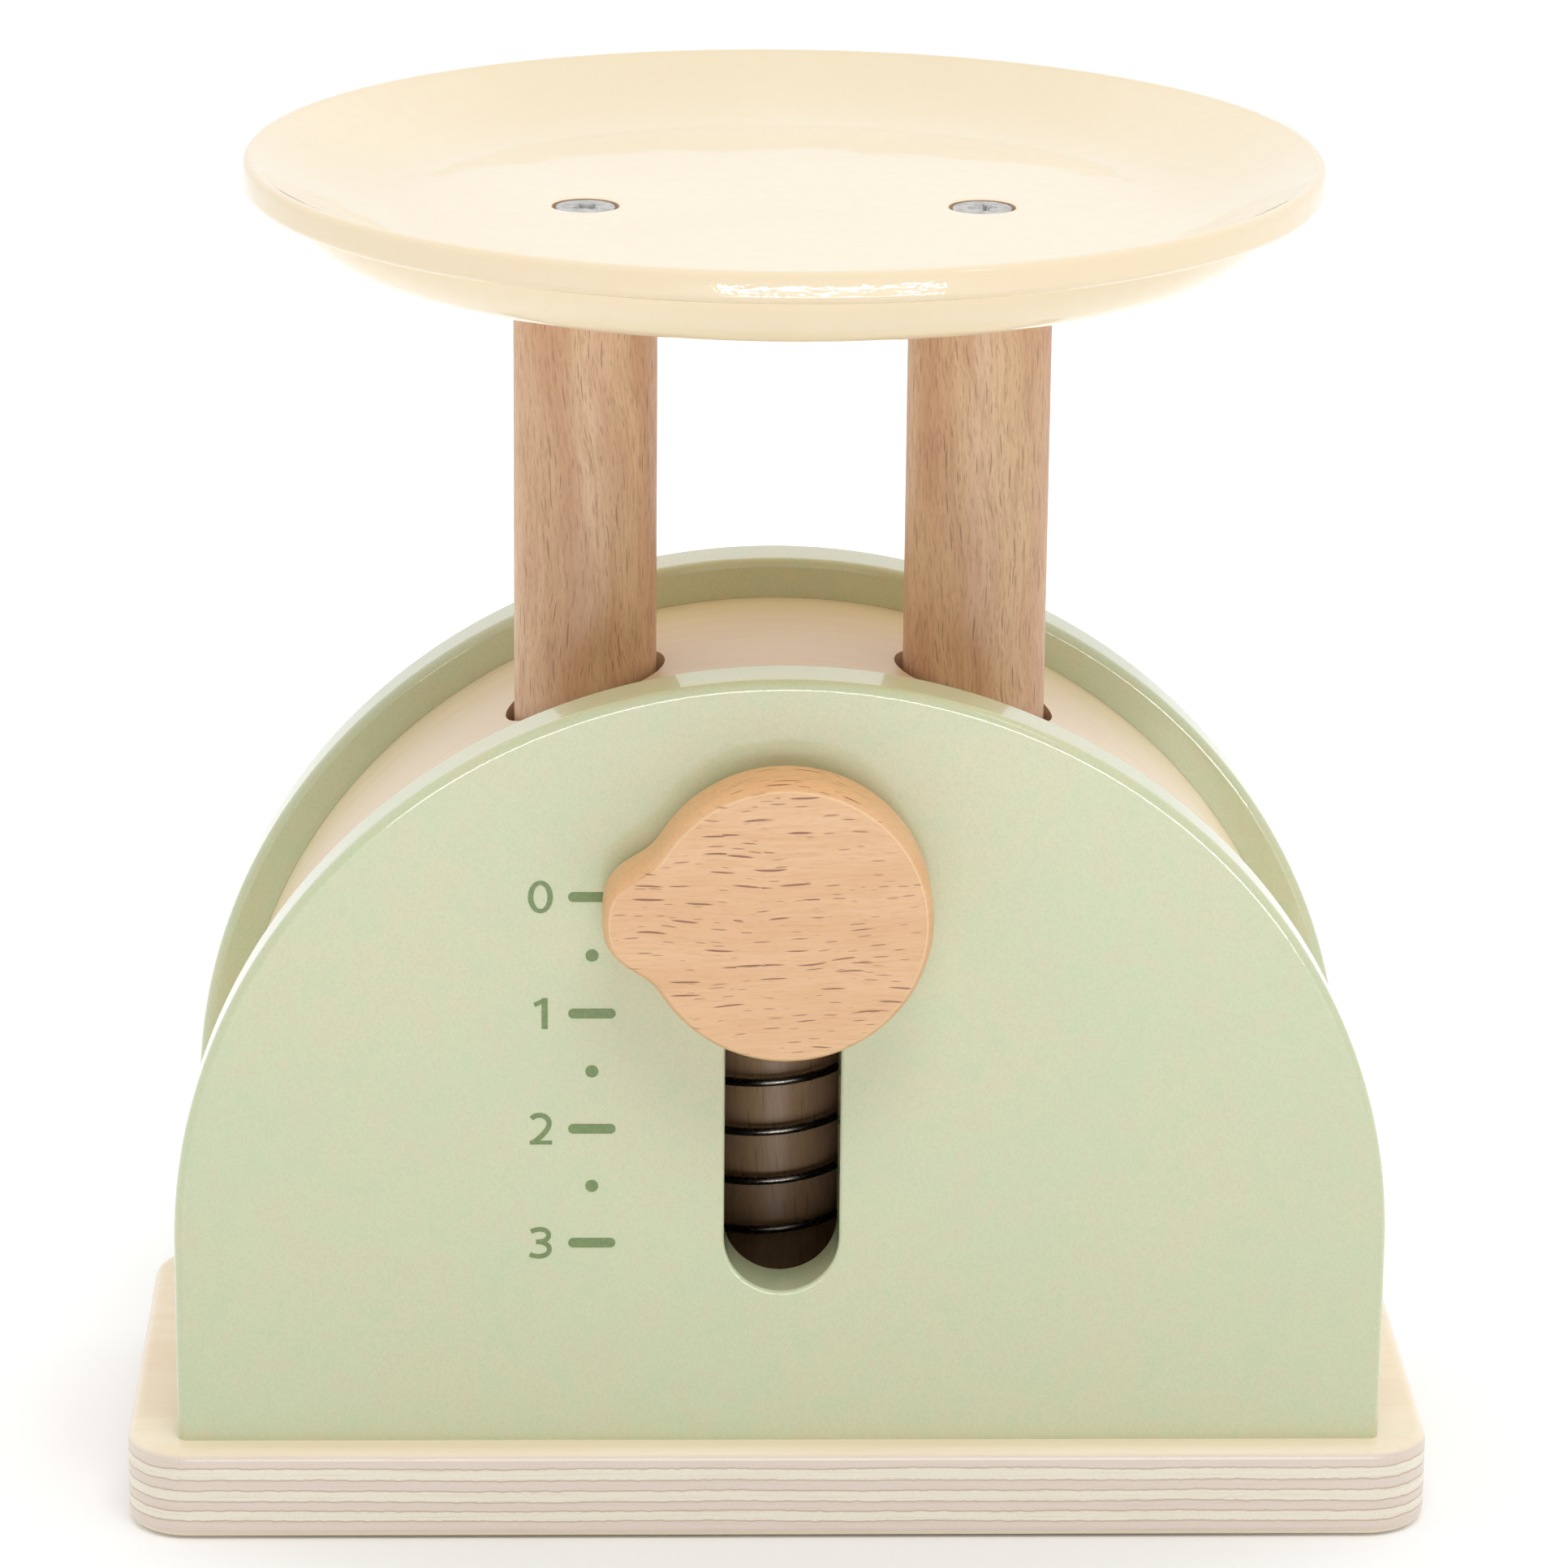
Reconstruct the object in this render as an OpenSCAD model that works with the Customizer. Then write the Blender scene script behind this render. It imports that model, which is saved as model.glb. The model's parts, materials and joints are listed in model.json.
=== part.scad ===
// Wooden toy kitchen scale. A painted arched case stands on a plywood base plate. A round tray on two
// posts presses a sprung carriage down a guide post, and a beaked pointer shows the travel at a slot.
// The origin is the middle of the base plate's underside, +Z is up and the slot faces -Y.

/* [Case] */
// Width of the front and back panels
panel_w = 152; // [127:0.5:183]
// Height of the panels above the base plate
panel_h = 100; // [83:0.5:120]
// Rise of the arched part of the panels
arch_rise = 73.8; // [60:0.2:80]
// Thickness of a panel
panel_t = 8; // [6.5:0.1:10]
// Rounding of the panel edges
panel_edge_r = 1.2; // [0.4:0.1:2]
// Clear depth between the two panels
case_gap = 47.8; // [39.5:0.1:60]
// Depth of the arched cover below the panel outline
cover_inset = 5.1; // [4:0.1:7]
// Thickness of the arched cover
cover_t = 3.5; // [2.5:0.1:4.5]
// Depth of the groove that holds the cover in each panel
groove_depth = 2; // [1:0.1:3]

/* [Base plate] */
// Thickness of the base plate
base_t = 12; // [10:0.5:15]
// Width of the base plate beside the panels
base_side_margin = 6.5; // [2:0.25:12]
// Depth of the base plate in front of and behind the panels
base_face_margin = 3.6; // [2:0.1:8]
// Corner radius of the base plate in plan
base_corner_r = 8; // [4:0.5:12]
// Rounding of the base plate's edges
base_edge_r = 1.5; // [0.5:0.1:3]

/* [Guide post and spring] */
// Diameter of the fixed guide post
guide_d = 18; // [15:0.1:22]
// Depth of the guide post's socket in the base plate
guide_socket = 4; // [2:0.5:6]
// Free space between the guide post and the carriage's bore
guide_clear = 0.4; // [0.3:0.05:1]
// Depth of the guide post's end below the carriage's top at rest
guide_end_drop = 1; // [0:0.5:6]
// Diameter of the spring wire
wire_d = 1.1; // [0.8:0.1:1.6]
// Least free space between the spring and the guide post
spring_clear = 0.5; // [0.4:0.1:1.5]
// Number of open turns of the spring
open_turns = 8.5; // [6:0.25:10]
// Free space between the close turns at each end of the spring
end_turn_gap = 0.6; // [0.5:0.05:1]
// Angle at which the spring wire starts
spring_start = 40; // [0:5:355]
// Length of the spring when the tray is pressed right down
spring_min_len = 16.4; // [13:0.1:20]
// Free space between the spring and what it presses on
spring_seat_gap = 0.15; // [0.1:0.05:0.4]

/* [Posts and carriage] */
// Diameter of the tray posts
post_d = 18; // [15:0.1:22]
// Chamfer at the ends of all dowels
dowel_chamfer = 0.5; // [0.2:0.1:1]
// Distance between the tray posts
post_spacing = 49.3; // [41:0.1:60]
// Depth of the post sockets in the carriage
post_socket = 10; // [6:0.5:12]
// Free space between a post and its hole in the cover
post_hole_clear = 1.1; // [0.6:0.1:2]
// Wood of the carriage outside each post
carriage_wall = 2.35; // [2:0.05:4]
// Free space between the carriage's top edge and the cover
carriage_headroom = 1.3; // [1:0.1:4]
// Chamfer of the carriage's upright edges
carriage_chamfer = 3; // [1:0.5:5]
// Free space between the pressed-down tray and the panels
tray_stop_gap = 2.4; // [1:0.1:8]

/* [Pointer] */
// Diameter of the peg that carries the pointer
peg_d = 12; // [10:0.1:14.5]
// Depth of the peg's hole in the carriage
peg_depth = 5; // [4:0.5:8]
// Wood between the peg's hole and the guide bore
peg_back_wall = 1.6; // [1:0.1:4]
// Wood of the carriage above the peg's hole
peg_top_wall = 2; // [1.5:0.1:5]
// Wood of the carriage below the peg's hole
peg_bottom_wall = 4; // [2:0.1:8]
// Free space between the peg and each side of its slot
slot_clear = 1.2; // [0.6:0.1:2]
// Free space between the peg and the slot's ends at its stops
slot_end_gap = 0.3; // [0.2:0.05:0.6]
// Diameter of the pointer's disc
pointer_d = 36; // [30:0.5:44]
// Thickness of the pointer
pointer_t = 10; // [8:0.5:12]
// Free space between the pointer and the front panel
pointer_gap = 0.5; // [0.4:0.1:2]
// Width of the rounding of the pointer's edges, seen from the front
pointer_edge_w = 1.3; // [0.5:0.1:3]
// Depth of that rounding, seen from the side
pointer_edge_depth = 2.6; // [0.5:0.1:3.5]
// Depth of the peg's hole in the pointer
pointer_hole_depth = 6; // [4:0.5:7]
// Reach of the beak past the disc
beak_len = 4.5; // [2:0.25:7]
// Half angle of the beak at the pointer's centre
beak_angle = 19; // [14:0.5:25]
// Fullness of the beak, from pointed to blunt
beak_fullness = 3.2; // [2:0.1:4]

/* [Tray] */
// Diameter of the tray
tray_d = 134.2; // [112:0.2:161]
// Height of the tray
tray_h = 11; // [9:0.1:14]
// Thickness of the tray's floor
tray_floor_t = 4.2; // [3.4:0.1:5]
// Width of the slope from the tray's edge in to its flat floor
tray_slope_w = 20; // [14:0.5:26]
// Height of the band round the tray's edge
rim_h = 3.9; // [3:0.1:5]
// Rounding of the band's edges
rim_edge_r = 0.9; // [0.6:0.1:1.5]
// Overhang of the band past the tray's bowl
rim_overhang = 5.6; // [3:0.1:9]
// Width of the rounding between the band and the flat underside
bowl_round_w = 7.4; // [4:0.1:10]

/* [Screws] */
// Diameter of the tray and carriage screws
post_screw_d = 3.5; // [2.9:0.1:4.2]
// Head diameter of the tray and carriage screws
post_screw_head_d = 7.5; // [6:0.1:9]
// Length of the tray and carriage screws
post_screw_len = 28; // [20:1:34]
// Diameter of the case screws
case_screw_d = 3; // [2.5:0.1:3.6]
// Head diameter of the case screws
case_screw_head_d = 6; // [5.5:0.1:7.2]
// Length of the case screws
case_screw_len = 28; // [20:1:34]
// Distance of the panel screws from the panels' sides
panel_screw_inset = 21.75; // [15:0.25:30]

/* [Hidden] */
// Free space in glued joints and round screws
fit_gap = 0.1;
// Depth by which a screw head lies below the surface
head_drop = 0.2;
// Upright edge of a countersunk head
head_lip = 0.3;
// Width and depth of the cross recess in a screw head
recess_w = 1.2;
recess_depth = 1.5;
// Excess of a cut past the surface it opens
over = 1;
// Steps in an arch, a rounded edge, a rounded corner and a turned curve
arch_steps = 48;
edge_steps = 3;
corner_steps = 8;
turned_steps = 8;
// Points round the pointer
pointer_points = 72;
// Rings in a turn of the spring and sides of its wire
turn_rings = 8;
wire_sides = 6;
// Smoothness of round parts
$fn = 64;

// Case
case_d = case_gap + 2 * panel_t;
panel_y = (case_gap + panel_t) / 2;
side_h = panel_h - arch_rise;
panel_top_z = base_t + panel_h;
base_w = panel_w + 2 * base_side_margin;
base_d = case_d + 2 * base_face_margin;
cover_len = case_gap + 2 * (groove_depth - fit_gap);
panel_screw_x = panel_w / 2 - panel_screw_inset;

// Carriage, measured from the cover down
post_x = post_spacing / 2;
guide_bore_d = guide_d + 2 * guide_clear;
carriage_w = post_spacing + post_d + 2 * carriage_wall;
carriage_d = guide_bore_d + 2 * (peg_back_wall + peg_depth);
carriage_h = peg_top_wall + peg_d + peg_bottom_wall;
carriage_top_z = cover_under_z(carriage_w / 2) - carriage_headroom;
carriage_z = carriage_top_z - carriage_h;
peg_z = carriage_top_z - peg_top_wall - peg_d / 2;
socket_z = carriage_top_z - post_socket;
guide_top_z = carriage_top_z - guide_end_drop;

// Travel, from the rest length of the spring
seat_len = carriage_z - base_t;
travel = seat_len - spring_min_len;

// Pointer and slot
front_y = -case_d / 2;
carriage_front_y = -carriage_d / 2;
pointer_back_y = front_y - pointer_gap;
peg_inner_y = carriage_front_y + peg_depth - fit_gap;
peg_outer_y = pointer_back_y - pointer_hole_depth + fit_gap;
slot_w = peg_d + 2 * slot_clear;
slot_top_z = peg_z + peg_d / 2 + slot_end_gap;
slot_bottom_z = peg_z - travel - peg_d / 2 - slot_end_gap;

// Tray, on the upper ends of the posts
tray_z = panel_top_z + tray_stop_gap + travel;
post_len = tray_z - socket_z;
tray_r = tray_d / 2;
tray_floor_z = tray_z + tray_floor_t;

// Spring wire, wound clear of the guide post at the flats between its rings
spring_r = (guide_d / 2 + spring_clear + wire_d / 2) / cos(180 / turn_rings);
end_pitch = wire_d + end_turn_gap;
spring_rise = seat_len - 2 * spring_seat_gap - wire_d;
open_pitch = (spring_rise - 2 * end_pitch) / open_turns;
spring_turns = open_turns + 2;

// Height of the cover's underside at a distance x from the middle
function cover_under_z(x) =
    let (inset = cover_inset + cover_t)
    base_t + side_h + (arch_rise - inset) * sqrt(1 - pow(x / (panel_w / 2 - inset), 2));

// Outline of the arch, drawn in by inset, with its foot lowered by drop
function arch_points(inset, drop = 0) =
    let (half_w = panel_w / 2 - inset)
    concat(
        [[half_w, -drop], [-half_w, -drop]],
        [for (k = [0 : arch_steps])
            let (a = 180 * (1 - k / arch_steps))
            [half_w * cos(a), side_h + (arch_rise - inset) * sin(a)]]
    );

// Outline of a rectangle with round corners
function rounded_rectangle(w, d, r) = [
    for (corner = [0 : 3], k = [0 : corner_steps])
        let (a = 90 * (corner + k / corner_steps))
        let (side_x = corner == 0 || corner == 3 ? 1 : -1)
        let (side_y = corner < 2 ? 1 : -1)
        [side_x * (w / 2 - r) + r * cos(a), side_y * (d / 2 - r) + r * sin(a)]
];

// Outline of the pointer: a disc with a beak to the left
function pointer_points_at(inset) = [
    for (k = [0 : pointer_points - 1])
        let (a = -360 * k / pointer_points)
        let (from_beak = abs(180 - abs(a)))
        let (r = pointer_d / 2 + beak_len * exp(-pow(from_beak / beak_angle, beak_fullness)) - inset)
        [r * cos(a), r * sin(a)]
];

// Inset and height of each layer of a board of thickness t, with edges rounded over width w and depth d
function edge_layers(t, w, d) =
    let (turns = [for (k = [0 : edge_steps]) 90 * k / edge_steps])
    let (quarter = [for (a = turns) [w - w * sin(a), d - d * cos(a)]])
    concat(quarter, [for (k = [edge_steps : -1 : 0]) [quarter[k][0], t - quarter[k][1]]]);

// Arc of a circle of radius r round c, or of an ellipse of radii r and rz
function arc(c, r, from, to, rz) =
    let (height = is_undef(rz) ? r : rz)
    [for (k = [0 : turned_steps])
        let (a = from + (to - from) * k / turned_steps)
        [c[0] + r * cos(a), c[1] + height * sin(a)]];

// Section of the tray, from its underside round the edge to its floor
function tray_section() =
    let (band_z = tray_h - rim_h)
    let (bowl_r = tray_r - rim_overhang)
    let (edge_r = tray_r - rim_edge_r)
    let (floor_r = tray_r - tray_slope_w)
    let (slope_w = edge_r - floor_r)
    let (slope_h = tray_h - tray_floor_t)
    concat(
        [[0, 0]],
        arc([bowl_r - bowl_round_w, band_z], bowl_round_w, -90, 0, band_z),
        arc([edge_r, band_z + rim_edge_r], rim_edge_r, -90, 0),
        arc([edge_r, tray_h - rim_edge_r], rim_edge_r, 0, 90),
        [for (k = [1 : turned_steps])
            let (u = 1 - k / turned_steps)
            [floor_r + slope_w * u, tray_floor_t + slope_h * (1 - cos(90 * u))]],
        [[0, tray_floor_t]]
    );

// Middle of the spring wire at turn t, close wound over the first and the last turn
function spring_point(t) =
    let (a = spring_start + 360 * t)
    let (open = min(max(t - 1, 0), open_turns))
    let (closed = t - open)
    [spring_r * cos(a), spring_r * sin(a), base_t + spring_seat_gap + wire_d / 2
        + end_pitch * closed + open_pitch * open];

// Middle of the whole wire, with a straight end one wire thick at each end
function spring_path() =
    let (count = turn_rings * spring_turns)
    let (start_way = [-sin(spring_start), cos(spring_start), 0])
    let (end_angle = spring_start + 360 * spring_turns)
    let (end_way = [-sin(end_angle), cos(end_angle), 0])
    concat(
        [spring_point(0) - wire_d * start_way],
        [for (k = [0 : count]) spring_point(k / turn_rings)],
        [spring_point(spring_turns) + wire_d * end_way]
    );

// Ring of the wire round point p, square to its way
function wire_ring(p, way) =
    let (along = way / norm(way))
    let (side = cross(along, [0, 0, 1]) / norm(cross(along, [0, 0, 1])))
    let (rise = cross(side, along))
    [for (k = [0 : wire_sides - 1])
        let (a = 360 * k / wire_sides)
        p + wire_d / 2 * (cos(a) * side + sin(a) * rise)];

// Least free space between points of the wire that are half a turn or more apart
function spring_self_gap(path) =
    let (far = turn_rings / 2)
    let (last = len(path) - 1)
    min([for (i = [0 : last - far], j = [i + far : last]) norm(path[i] - path[j])]) - wire_d;

// Closed body through a row of rings, each with the same number of points
module skin(rings) {
    n = len(rings[0]);
    last = (len(rings) - 1) * n;
    sides = [
        for (i = [0 : len(rings) - 2], j = [0 : n - 1])
            let (a = i * n + j)
            let (b = i * n + (j + 1) % n)
            each [[a, a + n, b + n], [a, b + n, b]]
    ];
    start_cap = [for (j = [1 : n - 2]) [0, j, j + 1]];
    end_cap = [for (j = [1 : n - 2]) [last, last + j + 1, last + j]];
    polyhedron(points = [for (ring = rings) each ring], faces = concat(sides, start_cap, end_cap));
}

// Dowel that stands on the origin, with chamfered ends
module dowel(d, len) {
    r = d / 2;
    c = dowel_chamfer;
    rotate_extrude()
        polygon([[0, 0], [r - c, 0], [r, c], [r, len - c], [r - c, len], [0, len]]);
}

// Countersunk screw with its head's top at the origin and its tip downwards
module screw(d, head_d, len) {
    neck_z = -head_lip - (head_d - d) / 2;
    difference() {
        rotate_extrude()
            polygon([[0, 0], [head_d / 2, 0], [head_d / 2, -head_lip], [d / 2, neck_z],
                [d / 2, d - len], [0, -len]]);
        for (turn = [0, 90])
            rotate(turn)
                translate([0, 0, over / 2 - recess_depth / 2])
                    cube([head_d / 2, recess_w, recess_depth + over], center = true);
    }
}

// Hole for such a screw, with a countersink that opens at the head's side
module screw_hole(d, head_d, len) {
    hole_r = d / 2 + fit_gap;
    neck_z = -head_lip - (head_d - d) / 2;
    mouth_r = hole_r + over - neck_z;
    rotate_extrude()
        polygon([[0, over], [mouth_r, over], [hole_r, neck_z], [hole_r, -len - fit_gap],
            [0, -len - fit_gap]]);
}

// Band that follows the arch between two insets, over a depth along Y
module arch_band(outer, inner, depth, drop = 0) {
    translate([0, 0, base_t])
        rotate([90, 0, 0])
            linear_extrude(depth, center = true)
                difference() {
                    polygon(arch_points(outer, drop));
                    polygon(arch_points(inner, drop + over));
                }
}

// Places of the screws in the foot of a panel, heads down, at the left, the right or both
module at_panel_screws(side, ends = [-1, 1]) {
    for (end = ends)
        translate([end * panel_screw_x, side * panel_y, head_drop])
            rotate([180, 0, 0])
                children();
}

// Place of the screw that holds the guide post, head down
module at_guide_screw() {
    translate([0, 0, head_drop])
        rotate([180, 0, 0])
            children();
}

// Places of the screws under the carriage, heads down
module at_carriage_screws(ends = [-1, 1]) {
    for (end = ends)
        translate([end * post_x, 0, carriage_z + head_drop])
            rotate([180, 0, 0])
                children();
}

// Places of the screws in the tray's floor, heads up
module at_tray_screws(ends = [-1, 1]) {
    for (end = ends)
        translate([end * post_x, 0, tray_floor_z - head_drop])
            children();
}

// Place of the tray, on the upper ends of the posts
module on_posts() {
    translate([0, 0, socket_z])
        translate([0, 0, post_len])
            children();
}

module case_screw() {
    color("#b4b7b9")
        screw(case_screw_d, case_screw_head_d, case_screw_len);
}

module case_screw_hole() {
    screw_hole(case_screw_d, case_screw_head_d, case_screw_len);
}

module post_screw() {
    color("#b4b7b9")
        screw(post_screw_d, post_screw_head_d, post_screw_len);
}

module post_screw_hole() {
    screw_hole(post_screw_d, post_screw_head_d, post_screw_len);
}

// Plain arched board with round edges and the groove for the cover on its inner side
module grooved_panel(side) {
    layers = edge_layers(panel_t, panel_edge_r, panel_edge_r);
    first_y = side * panel_y - panel_t / 2;
    difference() {
        skin([
            for (layer = layers)
                [for (p = arch_points(layer[0])) [p[0], first_y + layer[1], base_t + p[1]]]
        ]);
        translate([0, side * case_gap / 2, 0])
            arch_band(cover_inset - fit_gap, cover_inset + cover_t + fit_gap, 2 * groove_depth, over);
        at_panel_screws(side)
            case_screw_hole();
    }
}

// Plywood plate with rounded corners and edges, drilled from below
module base_plate() {
    layers = edge_layers(base_t, base_edge_r, base_edge_r);
    color("#eee0c0")
        difference() {
            skin([
                for (layer = layers)
                    let (i = layer[0])
                    [for (p = rounded_rectangle(base_w - 2 * i, base_d - 2 * i, base_corner_r - i))
                        [p[0], p[1], layer[1]]]
            ]);
            translate([0, 0, base_t - guide_socket])
                cylinder(d = guide_d + 2 * fit_gap, h = guide_socket + over);
            for (side = [-1, 1])
                at_panel_screws(side)
                    case_screw_hole();
            at_guide_screw()
                case_screw_hole();
        }
}

// Front panel with the upright slot for the pointer's peg
module front_panel() {
    color("#c6d2ab")
        difference() {
            grooved_panel(-1);
            translate([0, -panel_y, 0])
                rotate([90, 0, 0])
                    linear_extrude(panel_t + 2 * over, center = true) {
                        for (z = [slot_bottom_z + slot_w / 2, slot_top_z - slot_w / 2])
                            translate([0, z])
                                circle(d = slot_w);
                        translate([-slot_w / 2, slot_bottom_z + slot_w / 2])
                            square([slot_w, slot_top_z - slot_bottom_z - slot_w]);
                    }
        }
}

module back_panel() {
    color("#c6d2ab")
        grooved_panel(1);
}

// Bent plywood cover with two holes for the tray posts
module arch_cover() {
    color("#eedfbe")
        difference() {
            arch_band(cover_inset, cover_inset + cover_t, cover_len);
            for (x = [-post_x, post_x])
                translate([x, 0, base_t + side_h])
                    cylinder(d = post_d + 2 * post_hole_clear, h = panel_h);
        }
}

// One of the screws that hold the panels, at the front or back and at the left or right
module panel_screw(side, end) {
    at_panel_screws(side, [end])
        case_screw();
}

// Fixed dowel in the middle of the base plate
module guide_post() {
    foot_z = base_t - guide_socket;
    color("#b98f6c")
        difference() {
            translate([0, 0, foot_z])
                dowel(guide_d, guide_top_z - foot_z);
            at_guide_screw()
                case_screw_hole();
        }
}

module guide_post_screw() {
    at_guide_screw()
        case_screw();
}

// Coil spring of round wire, from the base plate up to the carriage
module spring() {
    path = spring_path();
    last = len(path) - 1;
    echo(spring_self_gap = spring_self_gap(path));
    color("#77706a")
        skin([
            for (i = [0 : last])
                let (way = path[min(i + 1, last)] - path[max(i - 1, 0)])
                let (end_way = i == 0 ? path[1] - path[0] : i == last ? path[last] - path[last - 1] : way)
                wire_ring(path[i], end_way)
        ]);
}

// Wooden block that slides on the guide post and carries the posts and the peg
module carriage() {
    w = carriage_w / 2;
    d = carriage_d / 2;
    c = carriage_chamfer;
    color("#d9b68f")
        difference() {
            translate([0, 0, carriage_z])
                linear_extrude(carriage_h)
                    polygon([[w - c, -d], [w, c - d], [w, d - c], [w - c, d],
                        [c - w, d], [-w, d - c], [-w, c - d], [c - w, -d]]);
            translate([0, 0, carriage_z - over])
                cylinder(d = guide_bore_d, h = carriage_h + 2 * over);
            for (x = [-post_x, post_x])
                translate([x, 0, socket_z])
                    cylinder(d = post_d + 2 * fit_gap, h = post_socket + over);
            at_carriage_screws()
                post_screw_hole();
            translate([0, carriage_front_y + peg_depth, peg_z])
                rotate([90, 0, 0])
                    cylinder(d = peg_d + 2 * fit_gap, h = peg_depth + over);
        }
}

module carriage_screw(end) {
    at_carriage_screws([end])
        post_screw();
}

// Dowel between the carriage and the tray, drilled at both ends
module tray_post(end) {
    color("#c8a07e")
        difference() {
            translate([end * post_x, 0, socket_z])
                dowel(post_d, post_len);
            at_carriage_screws()
                post_screw_hole();
            at_tray_screws()
                post_screw_hole();
        }
}

// Short dowel through the slot, from the carriage to the pointer
module pointer_peg() {
    color("#d9b68f")
        translate([0, peg_inner_y, peg_z])
            rotate([90, 0, 0])
                dowel(peg_d, peg_inner_y - peg_outer_y);
}

// Round pointer with a beak to the left and a blind hole for the peg
module pointer() {
    layers = edge_layers(pointer_t, pointer_edge_w, pointer_edge_depth);
    pointer_front_y = pointer_back_y - pointer_t;
    color("#e4b98c")
        difference() {
            skin([
                for (layer = layers)
                    [for (p = pointer_points_at(layer[0])) [p[0], pointer_front_y + layer[1], peg_z + p[1]]]
            ]);
            translate([0, pointer_back_y + over, peg_z])
                rotate([90, 0, 0])
                    cylinder(d = peg_d + 2 * fit_gap, h = pointer_hole_depth + over);
        }
}

// Turned tray with a banded edge, a sloped inside and a flat floor
module tray() {
    color("#f5e4c0")
        difference() {
            on_posts()
                rotate_extrude($fn = 128)
                    polygon(tray_section());
            at_tray_screws()
                post_screw_hole();
        }
}

module tray_screw(end) {
    at_tray_screws([end])
        post_screw();
}

base_plate();
front_panel();
back_panel();
arch_cover();
panel_screw(-1, -1);  // front_panel_screw_left
panel_screw(-1, 1);  // front_panel_screw_right
panel_screw(1, -1);  // back_panel_screw_left
panel_screw(1, 1);  // back_panel_screw_right
guide_post();
guide_post_screw();
spring();
carriage();
carriage_screw(-1);  // carriage_screw_left
carriage_screw(1);  // carriage_screw_right
tray_post(-1);  // left_post
tray_post(1);  // right_post
pointer_peg();
pointer();
tray();
tray_screw(-1);  // tray_screw_left
tray_screw(1);  // tray_screw_right
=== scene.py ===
"""Looks of a wooden toy kitchen scale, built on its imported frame. Lengths are in metres."""
import json
import math

import bmesh
import bpy
from mathutils import Matrix, Vector

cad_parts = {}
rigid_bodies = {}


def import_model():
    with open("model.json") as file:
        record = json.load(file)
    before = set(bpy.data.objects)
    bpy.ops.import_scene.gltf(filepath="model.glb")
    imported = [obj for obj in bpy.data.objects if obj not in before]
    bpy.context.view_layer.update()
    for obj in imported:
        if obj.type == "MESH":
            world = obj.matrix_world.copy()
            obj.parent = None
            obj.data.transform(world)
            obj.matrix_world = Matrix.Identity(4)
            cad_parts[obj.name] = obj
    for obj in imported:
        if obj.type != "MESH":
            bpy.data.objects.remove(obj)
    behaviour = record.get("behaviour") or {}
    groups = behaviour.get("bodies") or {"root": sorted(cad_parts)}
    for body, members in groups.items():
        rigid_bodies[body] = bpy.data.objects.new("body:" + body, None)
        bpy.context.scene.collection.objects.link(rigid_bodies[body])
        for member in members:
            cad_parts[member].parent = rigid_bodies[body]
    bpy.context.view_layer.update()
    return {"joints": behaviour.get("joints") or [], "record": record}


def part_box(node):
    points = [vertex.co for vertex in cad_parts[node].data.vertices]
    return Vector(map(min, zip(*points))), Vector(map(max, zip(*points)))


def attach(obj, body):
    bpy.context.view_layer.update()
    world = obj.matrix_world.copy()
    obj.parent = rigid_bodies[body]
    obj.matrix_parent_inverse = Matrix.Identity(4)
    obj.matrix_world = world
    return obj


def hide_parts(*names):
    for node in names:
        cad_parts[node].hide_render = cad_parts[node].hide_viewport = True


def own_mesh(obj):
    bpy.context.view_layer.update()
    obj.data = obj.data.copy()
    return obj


for leftover in list(bpy.data.objects):
    bpy.data.objects.remove(leftover)
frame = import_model()

MM = 0.001
JOINT = frame["joints"][0]
TRAVEL = JOINT["range_m"][1]
BODIES = {
    node: body
    for body, nodes in frame["record"]["behaviour"]["bodies"].items()
    for node in nodes
}

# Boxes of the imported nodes
base_lo, base_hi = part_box("base_plate")
front_lo, front_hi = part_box("front_panel")
back_lo, back_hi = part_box("back_panel")
cover_lo, cover_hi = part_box("arch_cover")
guide_lo, guide_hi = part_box("guide_post")
spring_lo, spring_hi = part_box("spring")
block_lo, block_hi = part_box("carriage")
post_lo, post_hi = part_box("right_post")
peg_lo, peg_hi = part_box("pointer_peg")
pointer_lo, pointer_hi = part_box("pointer")
tray_lo, tray_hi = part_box("tray")

# Case
BASE_TOP = base_hi.z
BASE_CORNER_R = 8 * MM
BASE_EDGE_R = 1.5 * MM
PANEL_W = front_hi.x - front_lo.x
PANEL_T = front_hi.y - front_lo.y
PANEL_EDGE_R = 1.2 * MM
ARCH_RISE = 73.8 * MM
SHOULDER_Z = front_hi.z - ARCH_RISE
COVER_INSET = front_hi.z - cover_hi.z
COVER_T = 3.5 * MM
GROOVE_DEPTH = 2 * MM
GROOVE_GAP = 0.02 * MM
FIT_GAP = 0.1 * MM
OVER = 1 * MM

# Moving unit
POST_X = (post_lo.x + post_hi.x) / 2
POST_R = (post_hi.x - post_lo.x) / 2
POST_HOLE_R = POST_R + 1.1 * MM
GUIDE_R = (guide_hi.x - guide_lo.x) / 2
GUIDE_BORE_R = GUIDE_R + 0.4 * MM
SOCKET_Z = post_lo.z
BLOCK_CHAMFER = 3 * MM
BLOCK_EDGE_R = 0.8 * MM
DOWEL_CHAMFER = 0.5 * MM
PEG_R = (peg_hi.x - peg_lo.x) / 2
PEG_Z = (peg_lo.z + peg_hi.z) / 2
SLOT_R = PEG_R + 1.2 * MM
SLOT_END_GAP = 0.3 * MM
SLOT_TOP = PEG_Z + PEG_R + SLOT_END_GAP
SLOT_BOTTOM = PEG_Z - TRAVEL - PEG_R - SLOT_END_GAP
SLOT_EDGE_R = 0.5 * MM
POINTER_R = (pointer_hi.z - pointer_lo.z) / 2
POINTER_T = pointer_hi.y - pointer_lo.y
POINTER_EDGE_IN = 1.3 * MM
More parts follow.
